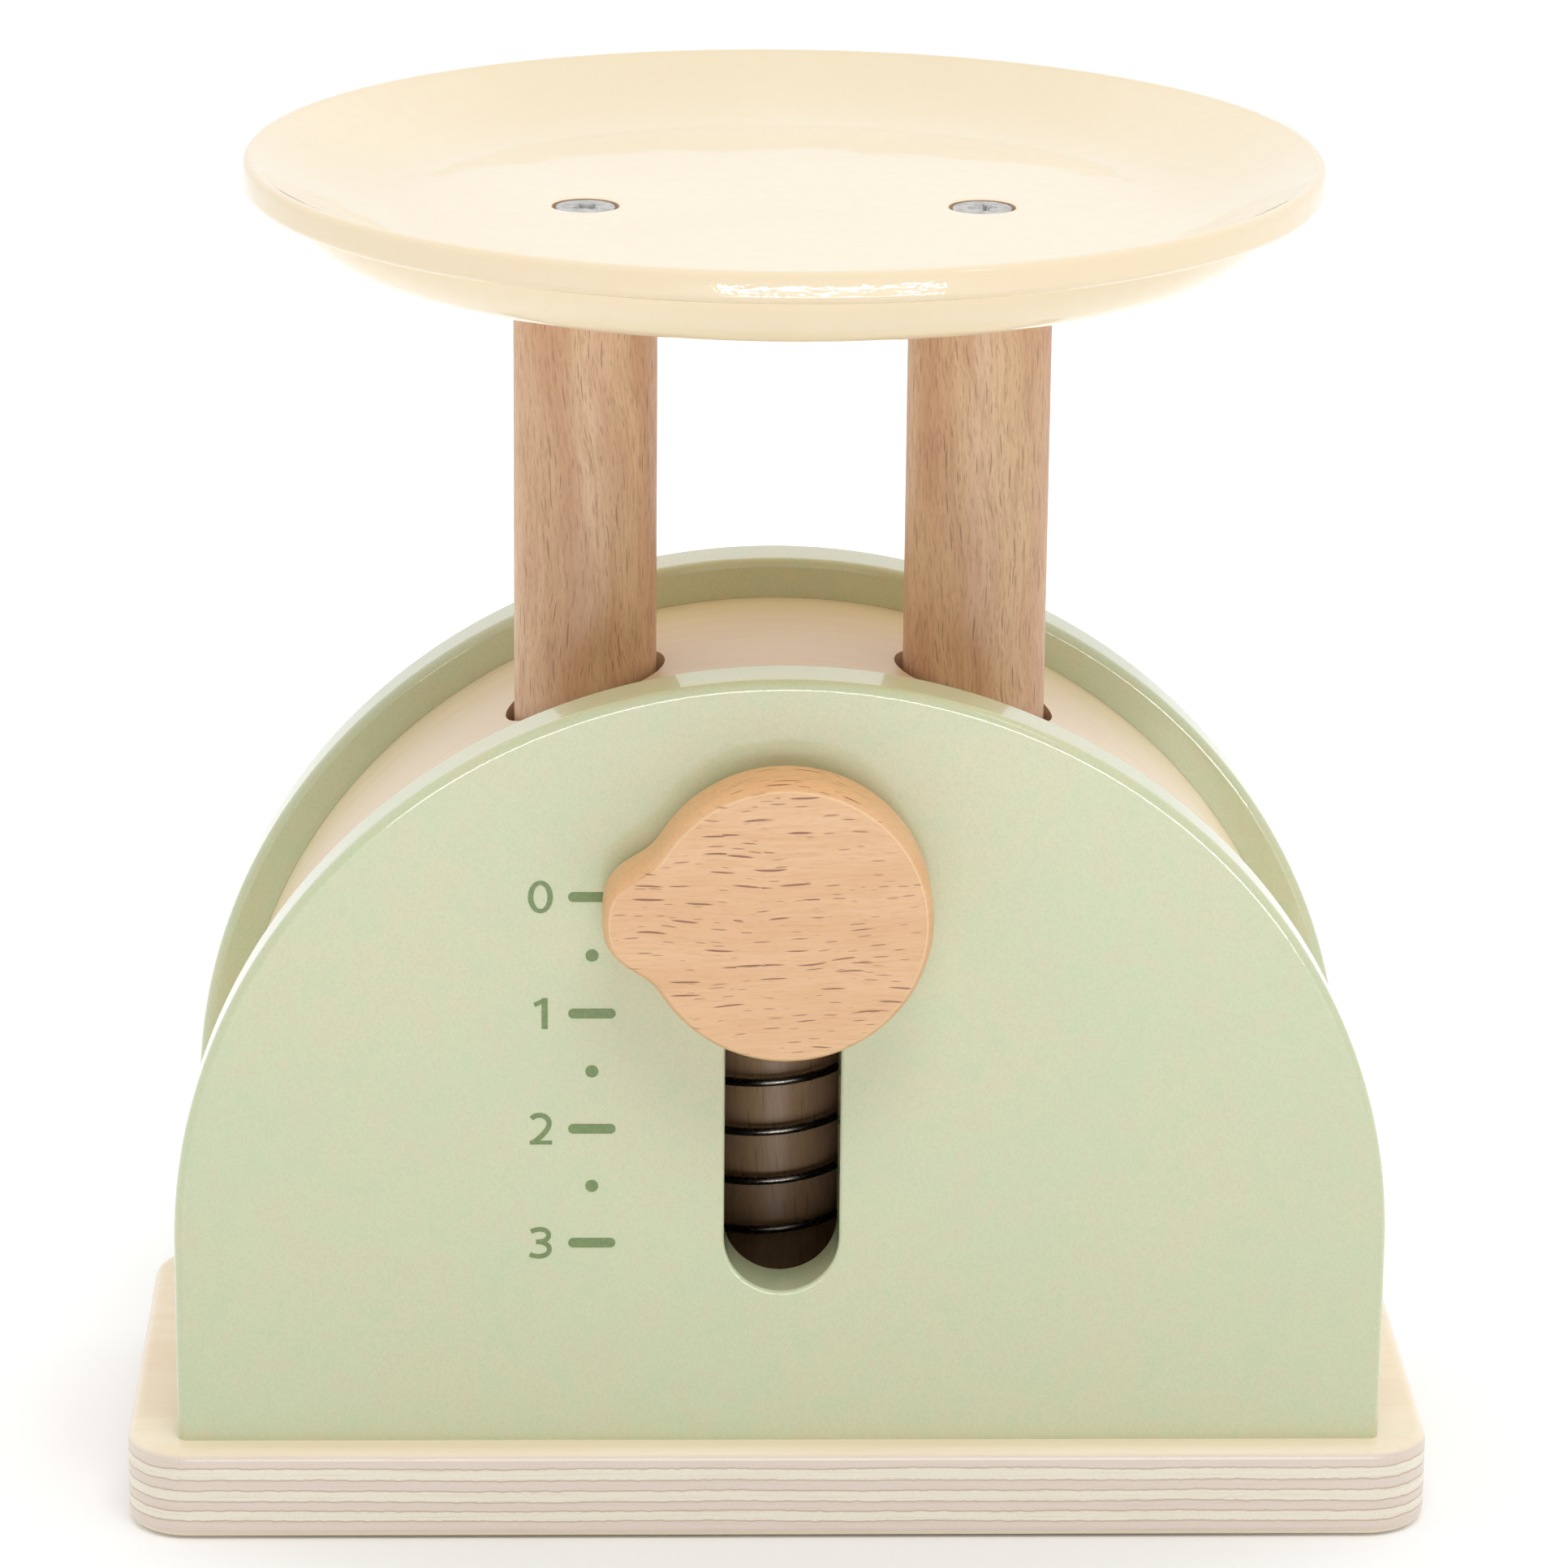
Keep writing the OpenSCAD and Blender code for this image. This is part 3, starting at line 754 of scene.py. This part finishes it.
def add_scale_marks(material):
    """Ticks, numerals and dots down the left of the slot, as thin printed ink."""
    step = TRAVEL / SCALE_STEPS
    shapes = []
    for k in range(SCALE_STEPS + 1):
        z = (PEG_Z + SCALE_RAISE - k * step) / MM
        tick_ends = [(TICK_FROM_X + TICK_H / 2) / MM, (TICK_TO_X - TICK_H / 2) / MM]
        shapes.append(stroke(widths([(x, z) for x in tick_ends], TICK_H / MM), "round"))
        for path, ends in numeral_strokes(k):
            shapes.append(stroke([(NUMERAL_X / MM + x, z + dz, w) for x, dz, w in path], ends))
        if k < SCALE_STEPS:
            middle = z - step / 2 / MM
            dot_x = (TICK_FROM_X + TICK_TO_X) / 2 / MM
            dot_ends = [dot_x - DOT_LEN / 2 / MM, dot_x + DOT_LEN / 2 / MM]
            shapes.append(stroke(widths([(x, middle) for x in dot_ends], 2 * DOT_R / MM), "round"))
    obj = make("scale_marks", shapes[0])
    combine(obj, shapes[1:], "UNION")
    obj.data.materials.append(material)
    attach(obj, BODIES["front_panel"])


# Materials

# Heights of the plywood's glue lines and half of what one takes up, in millimetres
PLY_JOINTS = (2.4, 3.8, 5.1, 6.6, 8.0, 9.6)
GLUE_LINE = 0.17


class Net:
    """Node tree with short calls for its nodes. A value is a socket or a constant."""

    def __init__(self, tree):
        self.tree = tree

    def add(self, kind, inputs=(), **settings):
        node = self.tree.nodes.new(kind)
        for key, value in settings.items():
            setattr(node, key, value)
        for key, value in dict(inputs).items():
            self.feed(node.inputs[key], value)
        return node

    def feed(self, socket, value):
        if isinstance(value, bpy.types.NodeSocket):
            self.tree.links.new(value, socket)
        else:
            socket.default_value = value

    def times(self, vector, factors):
        return self.add("ShaderNodeVectorMath", {0: vector, 1: factors}, operation="MULTIPLY").outputs[0]

    def plus(self, a, b):
        return self.add("ShaderNodeVectorMath", {0: a, 1: b}, operation="ADD").outputs[0]

    def minus(self, a, b):
        return self.add("ShaderNodeVectorMath", {0: a, 1: b}, operation="SUBTRACT").outputs[0]

    def length(self, vector):
        return self.add("ShaderNodeVectorMath", {0: vector}, operation="LENGTH").outputs[1]

    def math(self, operation, a, b=0.0, c=0.0):
        return self.add("ShaderNodeMath", {0: a, 1: b, 2: c}, operation=operation).outputs[0]

    def axes(self, vector):
        return self.add("ShaderNodeSeparateXYZ", {0: vector}).outputs

    def vector(self, x, y, z):
        return self.add("ShaderNodeCombineXYZ", {0: x, 1: y, 2: z}).outputs[0]

    def remap(self, value, low, high, to_low=0.0, to_high=1.0):
        return self.add("ShaderNodeMapRange", {
            0: value, 1: low, 2: high, 3: to_low, 4: to_high}, interpolation_type="SMOOTHSTEP").outputs[0]

    def blend(self, factor, value, level):
        """Goes from one number over to another."""
        return self.add("ShaderNodeMix", {0: factor, 2: value, 3: level}).outputs[0]

    def mix(self, factor, a, b):
        """Goes from one colour over to another."""
        return self.add("ShaderNodeMix", {0: factor, 6: a, 7: b}, data_type="RGBA").outputs[2]

    def ramp(self, value, stops):
        """Colours over 0 to 1 through (position, colour) stops."""
        node = self.add("ShaderNodeValToRGB", {0: value})
        elements = node.color_ramp.elements
        elements[0].position, elements[0].color = stops[0]
        elements[1].position, elements[1].color = stops[-1]
        for position, colour in stops[1:-1]:
            elements.new(position).color = colour
        return node.outputs[0]

    def seen(self):
        """1 for rays that show the background, 0 for the light that falls on things."""
        path = self.add("ShaderNodeLightPath").outputs
        shown = self.math("MAXIMUM", path["Is Camera Ray"], path["Is Glossy Ray"])
        return self.math("MAXIMUM", shown, path["Is Transmission Ray"])


class Finish(Net):
    """Material with one shader. Its places are object coordinates in millimetres."""

    def __init__(self, name):
        self.material = bpy.data.materials.new(name)
        self.material.use_nodes = True
        super().__init__(self.material.node_tree)
        self.shader = self.tree.nodes["Principled BSDF"]
        coordinates = self.add("ShaderNodeTexCoord")
        self.normal = coordinates.outputs["Normal"]
        self.place = self.times(coordinates.outputs["Object"], (1 / MM, 1 / MM, 1 / MM))

    def set(self, **values):
        """Feeds the shader's sockets, with _ for each space in a name."""
        for key, value in values.items():
            self.feed(self.shader.inputs[key.replace("_", " ")], value)
        return self.material

    def noise(self, factors, vector=None, detail=2.0, roughness=0.5):
        """Noise between 0 and 1 with that many cells per millimetre along each axis."""
        place = self.times(vector or self.place, factors)
        return self.add("ShaderNodeTexNoise", {
            "Vector": place, "Scale": 1.0, "Detail": detail, "Roughness": roughness}).outputs[0]

    def bump(self, height, depth_mm):
        """Normal of a relief, where height 0 to 1 stands for that depth."""
        return self.add("ShaderNodeBump", {
            "Height": height, "Strength": 1.0, "Distance": depth_mm * MM}).outputs[0]

    def flecks(self, grain, cell, half):
        """Small dashes, one to a cell, with a cell's size and a dash's half size along the grain's axes."""
        scaled = self.times(grain, tuple(1 / size for size in cell))
        cells = self.add("ShaderNodeTexVoronoi", {"Vector": scaled, "Scale": 1.0, "Randomness": 0.9})
        away = self.minus(scaled, cells.outputs["Position"])
        reach = self.length(self.times(away, tuple(c / h for c, h in zip(cell, half))))
        size = self.remap(self.axes(cells.outputs["Color"])[0], 0.0, 1.0, 0.45, 1.25)
        return self.remap(self.math("SUBTRACT", size, reach), 0.0, 0.4)


def sage_paint():
    """Glossy sage green paint with faint clouds, a mottled tint, dust nibs and a slight orange peel."""
    net = Finish("sage_paint")
    clouds = net.noise((0.035, 0.035, 0.035), detail=3.0)
    colour = net.mix(net.remap(clouds, 0.35, 0.65), srgb(203, 212, 173), srgb(209, 211, 172))
    mottle = net.noise((0.3, 0.3, 0.3), detail=4.0, roughness=0.6)
    colour = net.mix(net.remap(mottle, 0.33, 0.5, 0.5, 0.0), colour, srgb(195, 211, 170))
    colour = net.mix(net.remap(mottle, 0.5, 0.67, 0.0, 0.5), colour, srgb(213, 206, 172))
    fine = net.noise((3.0, 3.0, 3.0), detail=3.0)
    colour = net.mix(net.remap(fine, 0.35, 0.75, 0.0, 0.45), colour, srgb(190, 198, 157))
    nibs = net.flecks(net.place, (19, 19, 19), (0.3, 0.3, 0.3))
    colour = net.mix(net.math("MULTIPLY", nibs, 0.5), colour, srgb(228, 232, 208))
    peel = net.noise((0.8, 0.8, 0.8), detail=1.0)
    relief = net.bump(net.math("ADD", peel, net.math("MULTIPLY", nibs, 0.6)), 0.02)
    return net.set(
        Base_Color=colour, Roughness=net.remap(fine, 0.2, 0.8, 0.32, 0.42), Normal=relief,
        Coat_Weight=1.0, Coat_Roughness=0.05, Coat_Normal=relief)


def beech(name, order, tones, fleck, families, lean, gloss, crease_highlight=0.0):
    """Beech with fine fibres, pores and ray flecks, which lean across the grain.

    order gives the axes across, along the rays and along the grain. Each family of flecks is the size of a
    cell that holds one, the half size of a fleck and its strength. The last argument, when given, paints a
    highlight as a lighter line along the crease round a face.
    """
    light, rosy, dark = tones
    net = Finish(name)
    axes = net.axes(net.place)
    across, along_rays, along = [axes["XYZ".index(axis)] for axis in order]
    straight = net.vector(net.math("MULTIPLY_ADD", along, lean, across), along_rays, along)
    wander = net.noise((0.06, 0.06, 0.04), straight, detail=2.0)
    grain = net.plus(straight, net.vector(net.remap(wander, 0.2, 0.8, -1.1, 1.1), 0.0, 0.0))
    broad = net.noise((0.22, 0.12, 0.02), grain, detail=2.0)
    colour = net.mix(net.remap(broad, 0.32, 0.68), light, rosy)
    fibre = net.noise((2.6, 1.6, 0.16), grain, detail=4.0, roughness=0.6)
    colour = net.mix(net.remap(fibre, 0.42, 0.75, 0.0, 0.4), colour, dark)
    pores = net.noise((6.0, 4.0, 0.6), grain, detail=4.0)
    colour = net.mix(net.remap(pores, 0.5, 0.72, 0.0, 0.45), colour, dark)
    facing = net.axes(net.normal)
    sideways = net.remap(net.math("ABSOLUTE", facing["XYZ".index(order[0])]), 0.5, 0.85)
    end_on = net.remap(net.math("ABSOLUTE", facing["XYZ".index(order[2])]), 0.35, 0.7)
    dashes = 0.0
    for cell, half, strength in families:
        rays = net.flecks(grain, cell, half)
        side_rays = net.flecks(grain, (cell[1], cell[0], cell[2]), (half[1], half[0], half[2]))
        front = net.math("MULTIPLY", rays, net.math("SUBTRACT", 1.0, sideways))
        family = net.math("ADD", front, net.math("MULTIPLY", side_rays, sideways))
        dashes = net.math("MAXIMUM", dashes, net.math("MULTIPLY", family, strength))
    dashes = net.math("MULTIPLY", dashes, net.math("SUBTRACT", 1.0, end_on))
    # Painted highlight: the colour turns lighter along the crease between a face and its round edge, where
    # light would catch it.
    if crease_highlight:
        turned = net.math("ABSOLUTE", facing["XYZ".index(order[1])])
        inner = net.remap(turned, 0.93, 0.99, crease_highlight, 0.0)
        crease = net.math("MULTIPLY", net.remap(turned, 0.66, 0.84), inner)
        colour = net.mix(crease, colour, srgb(250, 222, 180))
    colour = net.mix(dashes, colour, fleck)
    hollows = net.math("ADD", net.math("MULTIPLY", pores, -0.5), net.math("MULTIPLY", dashes, -0.5))
    return net.set(
        Base_Color=colour, Roughness=net.remap(fibre, 0.3, 0.75, gloss, gloss + 0.16),
        Normal=net.bump(hollows, 0.03))


def pointer_beech():
    tones = (srgb(229, 184, 138), srgb(225, 177, 129), srgb(211, 160, 112))
    families = [((2.0, 2.0, 5.0), (0.13, 1.3, 1.9), 0.95), ((1.6, 1.4, 3.3), (0.1, 0.9, 1.0), 0.6)]
    # The pointer's faces get a painted highlight along their crease.
    return beech("pointer_beech", "ZYX", tones, srgb(134, 84, 56), families, -0.05, 0.36, crease_highlight=0.7)


def post_beech():
    tones = (srgb(226, 191, 151), srgb(211, 166, 131), srgb(168, 124, 92))
    families = [((1.3, 3.0, 5.0), (0.09, 2.0, 1.7), 0.6), ((0.7, 2.2, 2.4), (0.07, 1.4, 0.8), 0.4)]
    return beech("post_beech", "XYZ", tones, srgb(132, 88, 60), families, 0.05, 0.42)


def guide_beech():
    tones = (srgb(227, 189, 147), srgb(220, 178, 141), srgb(190, 148, 110))
    families = [((1.6, 5.0, 5.5), (0.1, 3.0, 1.9), 0.4)]
    return beech("guide_beech", "XYZ", tones, srgb(128, 90, 64), families, 0.03, 0.3)


def block_beech(name, order):
    tones = (srgb(222, 184, 146), srgb(216, 172, 136), srgb(188, 144, 106))
    families = [((1.7, 6.0, 5.0), (0.11, 3.0, 1.8), 0.6), ((1.2, 2.5, 3.0), (0.08, 1.5, 0.9), 0.35)]
    return beech(name, order, tones, srgb(140, 98, 68), families, 0.04, 0.5)


# Bare beech in the tray's countersinks, darkened as painted shade for the shadow gap round the screw heads.
def shaded_countersink_beech():
    tones = (srgb(164, 132, 102), srgb(152, 120, 92), srgb(126, 96, 72))
    families = [((1.2, 2.5, 3.0), (0.08, 1.5, 0.9), 0.35)]
    return beech("shaded_countersink_beech", "XZY", tones, srgb(106, 78, 56), families, 0.04, 0.5)


def birch_plywood():
    """Birch plywood: a pale veneer above and below, seven plies and glue lines at the edge."""
    net = Finish("birch_plywood")
    thickness = (base_hi.z - base_lo.z) / MM
    height = net.axes(net.place)[2]
    drift = net.remap(net.noise((0.04, 0.04, 0.15), detail=2.0), 0.2, 0.8, -0.16, 0.16)
    ragged = net.remap(net.noise((0.7, 0.7, 0.5), detail=3.0), 0.2, 0.8, -0.09, 0.09)
    level = net.math("ADD", height, net.math("ADD", drift, ragged))
    cream = srgb(246, 239, 221)
    pink = srgb(234, 219, 206)
    glue = srgb(197, 170, 150)
    line = GLUE_LINE / thickness
    stops = [(0.0, pink)]
    for k, joint in enumerate(PLY_JOINTS):
        below, above = (pink, cream) if k % 2 == 0 else (cream, pink)
        at = joint / thickness
        stops += [(at - line, below), (at, glue), (at + line, above)]
    stops.append((1.0, pink))
    plies = net.ramp(net.math("DIVIDE", level, thickness), stops)
    streaks = net.noise((0.08, 0.08, 5.5), detail=3.0)
    plies = net.mix(net.remap(streaks, 0.48, 0.75, 0.0, 0.35), plies, srgb(214, 193, 172))
    speckle = net.noise((4.0, 4.0, 7.0), detail=2.0)
    plies = net.mix(net.remap(speckle, 0.52, 0.72, 0.0, 0.35), plies, srgb(209, 187, 168))
    figure = net.noise((0.02, 0.3, 0.3), detail=4.0)
    veneer = net.mix(net.remap(figure, 0.35, 0.7), srgb(249, 235, 208), srgb(246, 229, 200))
    pores = net.noise((0.3, 6.0, 2.0), detail=2.0)
    veneer = net.mix(net.remap(pores, 0.58, 0.75, 0.0, 0.25), veneer, srgb(222, 198, 164))
    facing = net.remap(net.math("ABSOLUTE", net.axes(net.normal)[2]), 0.3, 0.65)
    colour = net.mix(facing, plies, veneer)
    relief = net.math("ADD", net.math("MULTIPLY", speckle, 0.5), net.math("MULTIPLY", pores, -0.5))
    return net.set(
        Base_Color=colour, Roughness=net.remap(speckle, 0.3, 0.7, 0.34, 0.46),
        Normal=net.bump(relief, 0.015), Coat_Weight=0.3, Coat_Roughness=0.25)


def cover_lacquer():
    """Satin lacquered bent veneer with a painted rosy reflection in the middle, yellower towards its edges,
    and faint streaks that follow the arch.
    """
    net = Finish("cover_lacquer")
    to_edge = net.math("ABSOLUTE", net.axes(net.place)[1])
    # Painted reflection: rosy along the middle of the cover, going over to yellower towards the front and
    # back.
    colour = net.mix(net.remap(to_edge, 4.0, 24.0), srgb(241, 220, 194), srgb(244, 226, 188))
    figure = net.noise((0.016, 0.25, 0.016), detail=3.0)
    colour = net.mix(net.remap(figure, 0.35, 0.7, 0.0, 0.5), colour, srgb(236, 212, 179))
    fibre = net.noise((0.1, 3.0, 0.1), detail=3.0)
    colour = net.mix(net.remap(fibre, 0.5, 0.78, 0.0, 0.2), colour, srgb(214, 186, 152))
    waves = net.noise((0.12, 0.3, 0.12), detail=1.0)
    relief = net.bump(waves, 0.03)
    return net.set(
        Base_Color=colour, Roughness=net.remap(fibre, 0.3, 0.7, 0.36, 0.46), Normal=relief,
        Coat_Weight=0.5, Coat_Roughness=0.3, Coat_Normal=relief)


def cream_lacquer():
    """Thick glossy cream lacquer, smooth inside the tray and rippled along its band, whose colour is
    darkened as painted shade.
    """
    net = Finish("cream_lacquer")
    clouds = net.noise((0.025, 0.025, 0.025), detail=3.0)
    colour = net.mix(net.remap(clouds, 0.35, 0.65), srgb(249, 233, 201), srgb(246, 229, 195))
    fine = net.noise((0.5, 0.5, 0.5), detail=1.0)
    colour = net.mix(net.remap(fine, 0.4, 0.7, 0.0, 0.3), colour, srgb(246, 227, 193))
    reach = net.length(net.times(net.place, (1.0, 1.0, 0.0)))
    band = net.remap(reach, TRAY_R / MM - 2.2, TRAY_R / MM - 0.6)
    # Painted shade: the band round the rim is a little darker, for the lesser light on its side.
    colour = net.mix(net.math("MULTIPLY", band, 0.6), colour, srgb(243, 222, 186))
    ripple = net.noise((0.5, 0.5, 1.0), detail=2.0)
    peel = net.noise((0.16, 0.16, 0.16), detail=0.0)
    relief = net.bump(net.math("MULTIPLY_ADD", net.math("MULTIPLY", ripple, band), 0.8, peel), 0.05)
    return net.set(
        Base_Color=colour, Roughness=net.remap(fine, 0.3, 0.7, 0.36, 0.44), Normal=relief,
        Specular_IOR_Level=0.3, Coat_Weight=1.0, Coat_Roughness=0.04, Coat_Normal=relief)


def zinc_plate():
    """Bright zinc plating with fine scratches and cloudy patches."""
    net = Finish("zinc_plate")
    clouds = net.noise((0.8, 0.8, 0.8), detail=3.0)
    colour = net.mix(net.remap(clouds, 0.35, 0.65), srgb(206, 205, 203), srgb(178, 178, 176))
    scratches = net.noise((9.0, 1.2, 3.0), detail=2.0)
    return net.set(
        Base_Color=colour, Metallic=1.0, Roughness=net.remap(scratches, 0.3, 0.7, 0.22, 0.4),
        Normal=net.bump(scratches, 0.012))


def drawn_wire():
    """Dark drawn steel wire with a slight oil film."""
    net = Finish("drawn_wire")
    clouds = net.noise((0.5, 0.5, 0.5), detail=3.0)
    colour = net.mix(net.remap(clouds, 0.35, 0.65), srgb(112, 108, 104), srgb(92, 88, 84))
    scratches = net.noise((2.0, 2.0, 9.0), detail=2.0)
    return net.set(
        Base_Color=colour, Metallic=1.0, Roughness=net.remap(scratches, 0.3, 0.7, 0.2, 0.34),
        Normal=net.bump(scratches, 0.006))


def scale_ink():
    """Dark sage printing ink, a little thin in places."""
    net = Finish("scale_ink")
    cover = net.noise((2.2, 2.2, 2.2), detail=3.0)
    colour = net.mix(net.remap(cover, 0.35, 0.75), srgb(105, 130, 72), srgb(123, 143, 86))
    return net.set(
        Base_Color=colour, Roughness=net.remap(cover, 0.3, 0.7, 0.38, 0.5), Normal=net.bump(cover, 0.01))


# Studio

# Levels of the tent's light
AMBIENT_SIDES = 1.2
AMBIENT_BACK = 0.8
AMBIENT_TOP = 0.75
AMBIENT_FRONT = 0.12
# Where each part of the tent begins and is full, as a direction's share along that axis
SIDES_REACH = (0.4, 0.85)
TOP_REACH = (0.5, 0.85)
FRONT_REACH = (-0.8, -0.25)
FLOOR_COLOUR = (0.88, 0.88, 0.88, 1)
FLOOR_HALF = 4.0
FLOOR_GAP = 0.2 * MM
# The floor's own glow near the object and further out, the distances in millimetres over which it
# changes, and the share of it that lights things
FLOOR_GLOW_NEAR = 0.04
FLOOR_GLOW_FAR = 0.42
FLOOR_GLOW_REACH = (50, 160)
FLOOR_GLOW_CAST = 0.45
WHITE = (1, 1, 1, 1)
# Place, aim, width, height, radiance and the kind of rays that don't see the lamp
LAMPS = {
    "front_window": ((0.1, -0.6, 1.05), (0, 0, 0.13), 0.6, 0.4, 6.2, "glossy"),
    "side_card": ((0.55, -0.5, 0.95), (0, 0, 0.13), 0.12, 0.2, 5, None),
    "low_card_far": ((0.165, -0.95, 0.022), (0.165, 0, 0.022), 0.8, 0.045, 22, "diffuse"),
    "low_card_near": ((0.09, -0.55, 0.012), (0.09, 0, 0.012), 0.44, 0.022, 22, "diffuse"),
    "low_fill": ((0, -0.95, 0.03), (0, 0, 0.03), 0.8, 0.05, 4.5, "glossy"),
}
# Camera, fitted to edges in the photograph, with angles in radians
PHOTO_PX = 1932
FOCAL_PX = 7989.26
CAMERA_PLACE = (-23.3655 * MM, -789.3219 * MM, 336.9032 * MM)
CAMERA_PITCH = 0.3043
CAMERA_YAW = 0.0305
CAMERA_ROLL = 0.0101
SENSOR_MM = 36


def add_world():
    """White tent with bright walls, a dimmer top and an open, dark front. Its background shows as white."""
    world = bpy.data.worlds.new("white_tent")
    bpy.context.scene.world = world
    world.use_nodes = True
    net = Net(world.node_tree)
    background = net.tree.nodes["Background"].inputs
    way = net.axes(net.add("ShaderNodeTexCoord").outputs["Generated"])
    walls = net.remap(net.math("ABSOLUTE", way["X"]), *SIDES_REACH, AMBIENT_BACK, AMBIENT_SIDES)
    tent = net.blend(net.remap(way["Z"], *TOP_REACH), walls, AMBIENT_TOP)
    ambient = net.blend(net.remap(way["Y"], *FRONT_REACH, 1, 0), tent, AMBIENT_FRONT)
    net.feed(background["Color"], WHITE)
    net.feed(background["Strength"], net.blend(net.seen(), ambient, 1))


def floor_paper():
    """White paper that keeps the object's shadow and goes over to plain white further out."""
    net = Finish("floor_paper")
    glow = net.remap(net.length(net.place), *FLOOR_GLOW_REACH, FLOOR_GLOW_NEAR, FLOOR_GLOW_FAR)
    share = net.math("MAXIMUM", net.seen(), FLOOR_GLOW_CAST)
    return net.set(
        Base_Color=FLOOR_COLOUR, Roughness=0.9, Specular_IOR_Level=0.1,
        Emission_Color=WHITE, Emission_Strength=net.math("MULTIPLY", glow, share))


def add_floor():
    z = base_lo.z - FLOOR_GAP
    mesh = bpy.data.meshes.new("floor")
    corners = [(x * FLOOR_HALF, y * FLOOR_HALF, z) for x, y in ((-1, -1), (1, -1), (1, 1), (-1, 1))]
    mesh.from_pydata(corners, [], [(0, 1, 2, 3)])
    floor = bpy.data.objects.new("floor", mesh)
    bpy.context.scene.collection.objects.link(floor)
    mesh.materials.append(floor_paper())


def add_softbox(name, place, aim, width, height, radiance):
    """Area lamp of an even radiance, facing a point."""
    lamp = bpy.data.lights.new(name, "AREA")
    lamp.shape = "RECTANGLE"
    lamp.size = width
    lamp.size_y = height
    lamp.energy = radiance * math.pi * width * height
    obj = bpy.data.objects.new(name, lamp)
    obj.location = place
    obj.rotation_euler = (Vector(aim) - Vector(place)).to_track_quat("-Z", "Y").to_euler()
    bpy.context.scene.collection.objects.link(obj)
    return obj


def add_lamps():
    for name, (place, aim, width, height, radiance, unseen_by) in LAMPS.items():
        lamp = add_softbox(name, place, aim, width, height, radiance)
        lamp.visible_glossy = unseen_by != "glossy"
        lamp.visible_diffuse = unseen_by != "diffuse"


def add_camera():
    pitch = CAMERA_PITCH
    yaw = CAMERA_YAW
    ahead = Vector((math.sin(yaw) * math.cos(pitch), math.cos(yaw) * math.cos(pitch), -math.sin(pitch)))
    level = Vector((math.cos(yaw), -math.sin(yaw), 0))
    upward = level.cross(ahead)
    right = math.cos(CAMERA_ROLL) * level + math.sin(CAMERA_ROLL) * upward
    up = math.cos(CAMERA_ROLL) * upward - math.sin(CAMERA_ROLL) * level
    data = bpy.data.cameras.new("photo_camera")
    data.sensor_width = SENSOR_MM
    data.lens = SENSOR_MM * FOCAL_PX / PHOTO_PX
    camera = bpy.data.objects.new("photo_camera", data)
    turn = Matrix((right, up, -ahead)).transposed().to_4x4()
    camera.matrix_world = Matrix.Translation(CAMERA_PLACE) @ turn
    bpy.context.scene.collection.objects.link(camera)
    bpy.context.scene.camera = camera


add_camera()
add_world()
add_floor()
add_lamps()

paint = sage_paint()
add_base_board(birch_plywood())
add_front_board(paint)
add_back_board(paint)
add_cover_sheet(cover_lacquer())
add_guide_dowel(guide_beech())
add_spring_coil(drawn_wire())
add_sliding_block(block_beech("block_beech", "ZYX"))
add_short_peg(block_beech("peg_beech", "XZY"))
add_post_dowels(post_beech())
add_pointer_disc(pointer_beech())
add_turned_tray(cream_lacquer(), shaded_countersink_beech())
add_screws(zinc_plate())
add_scale_marks(scale_ink())

bpy.context.scene.view_settings.view_transform = "Standard"
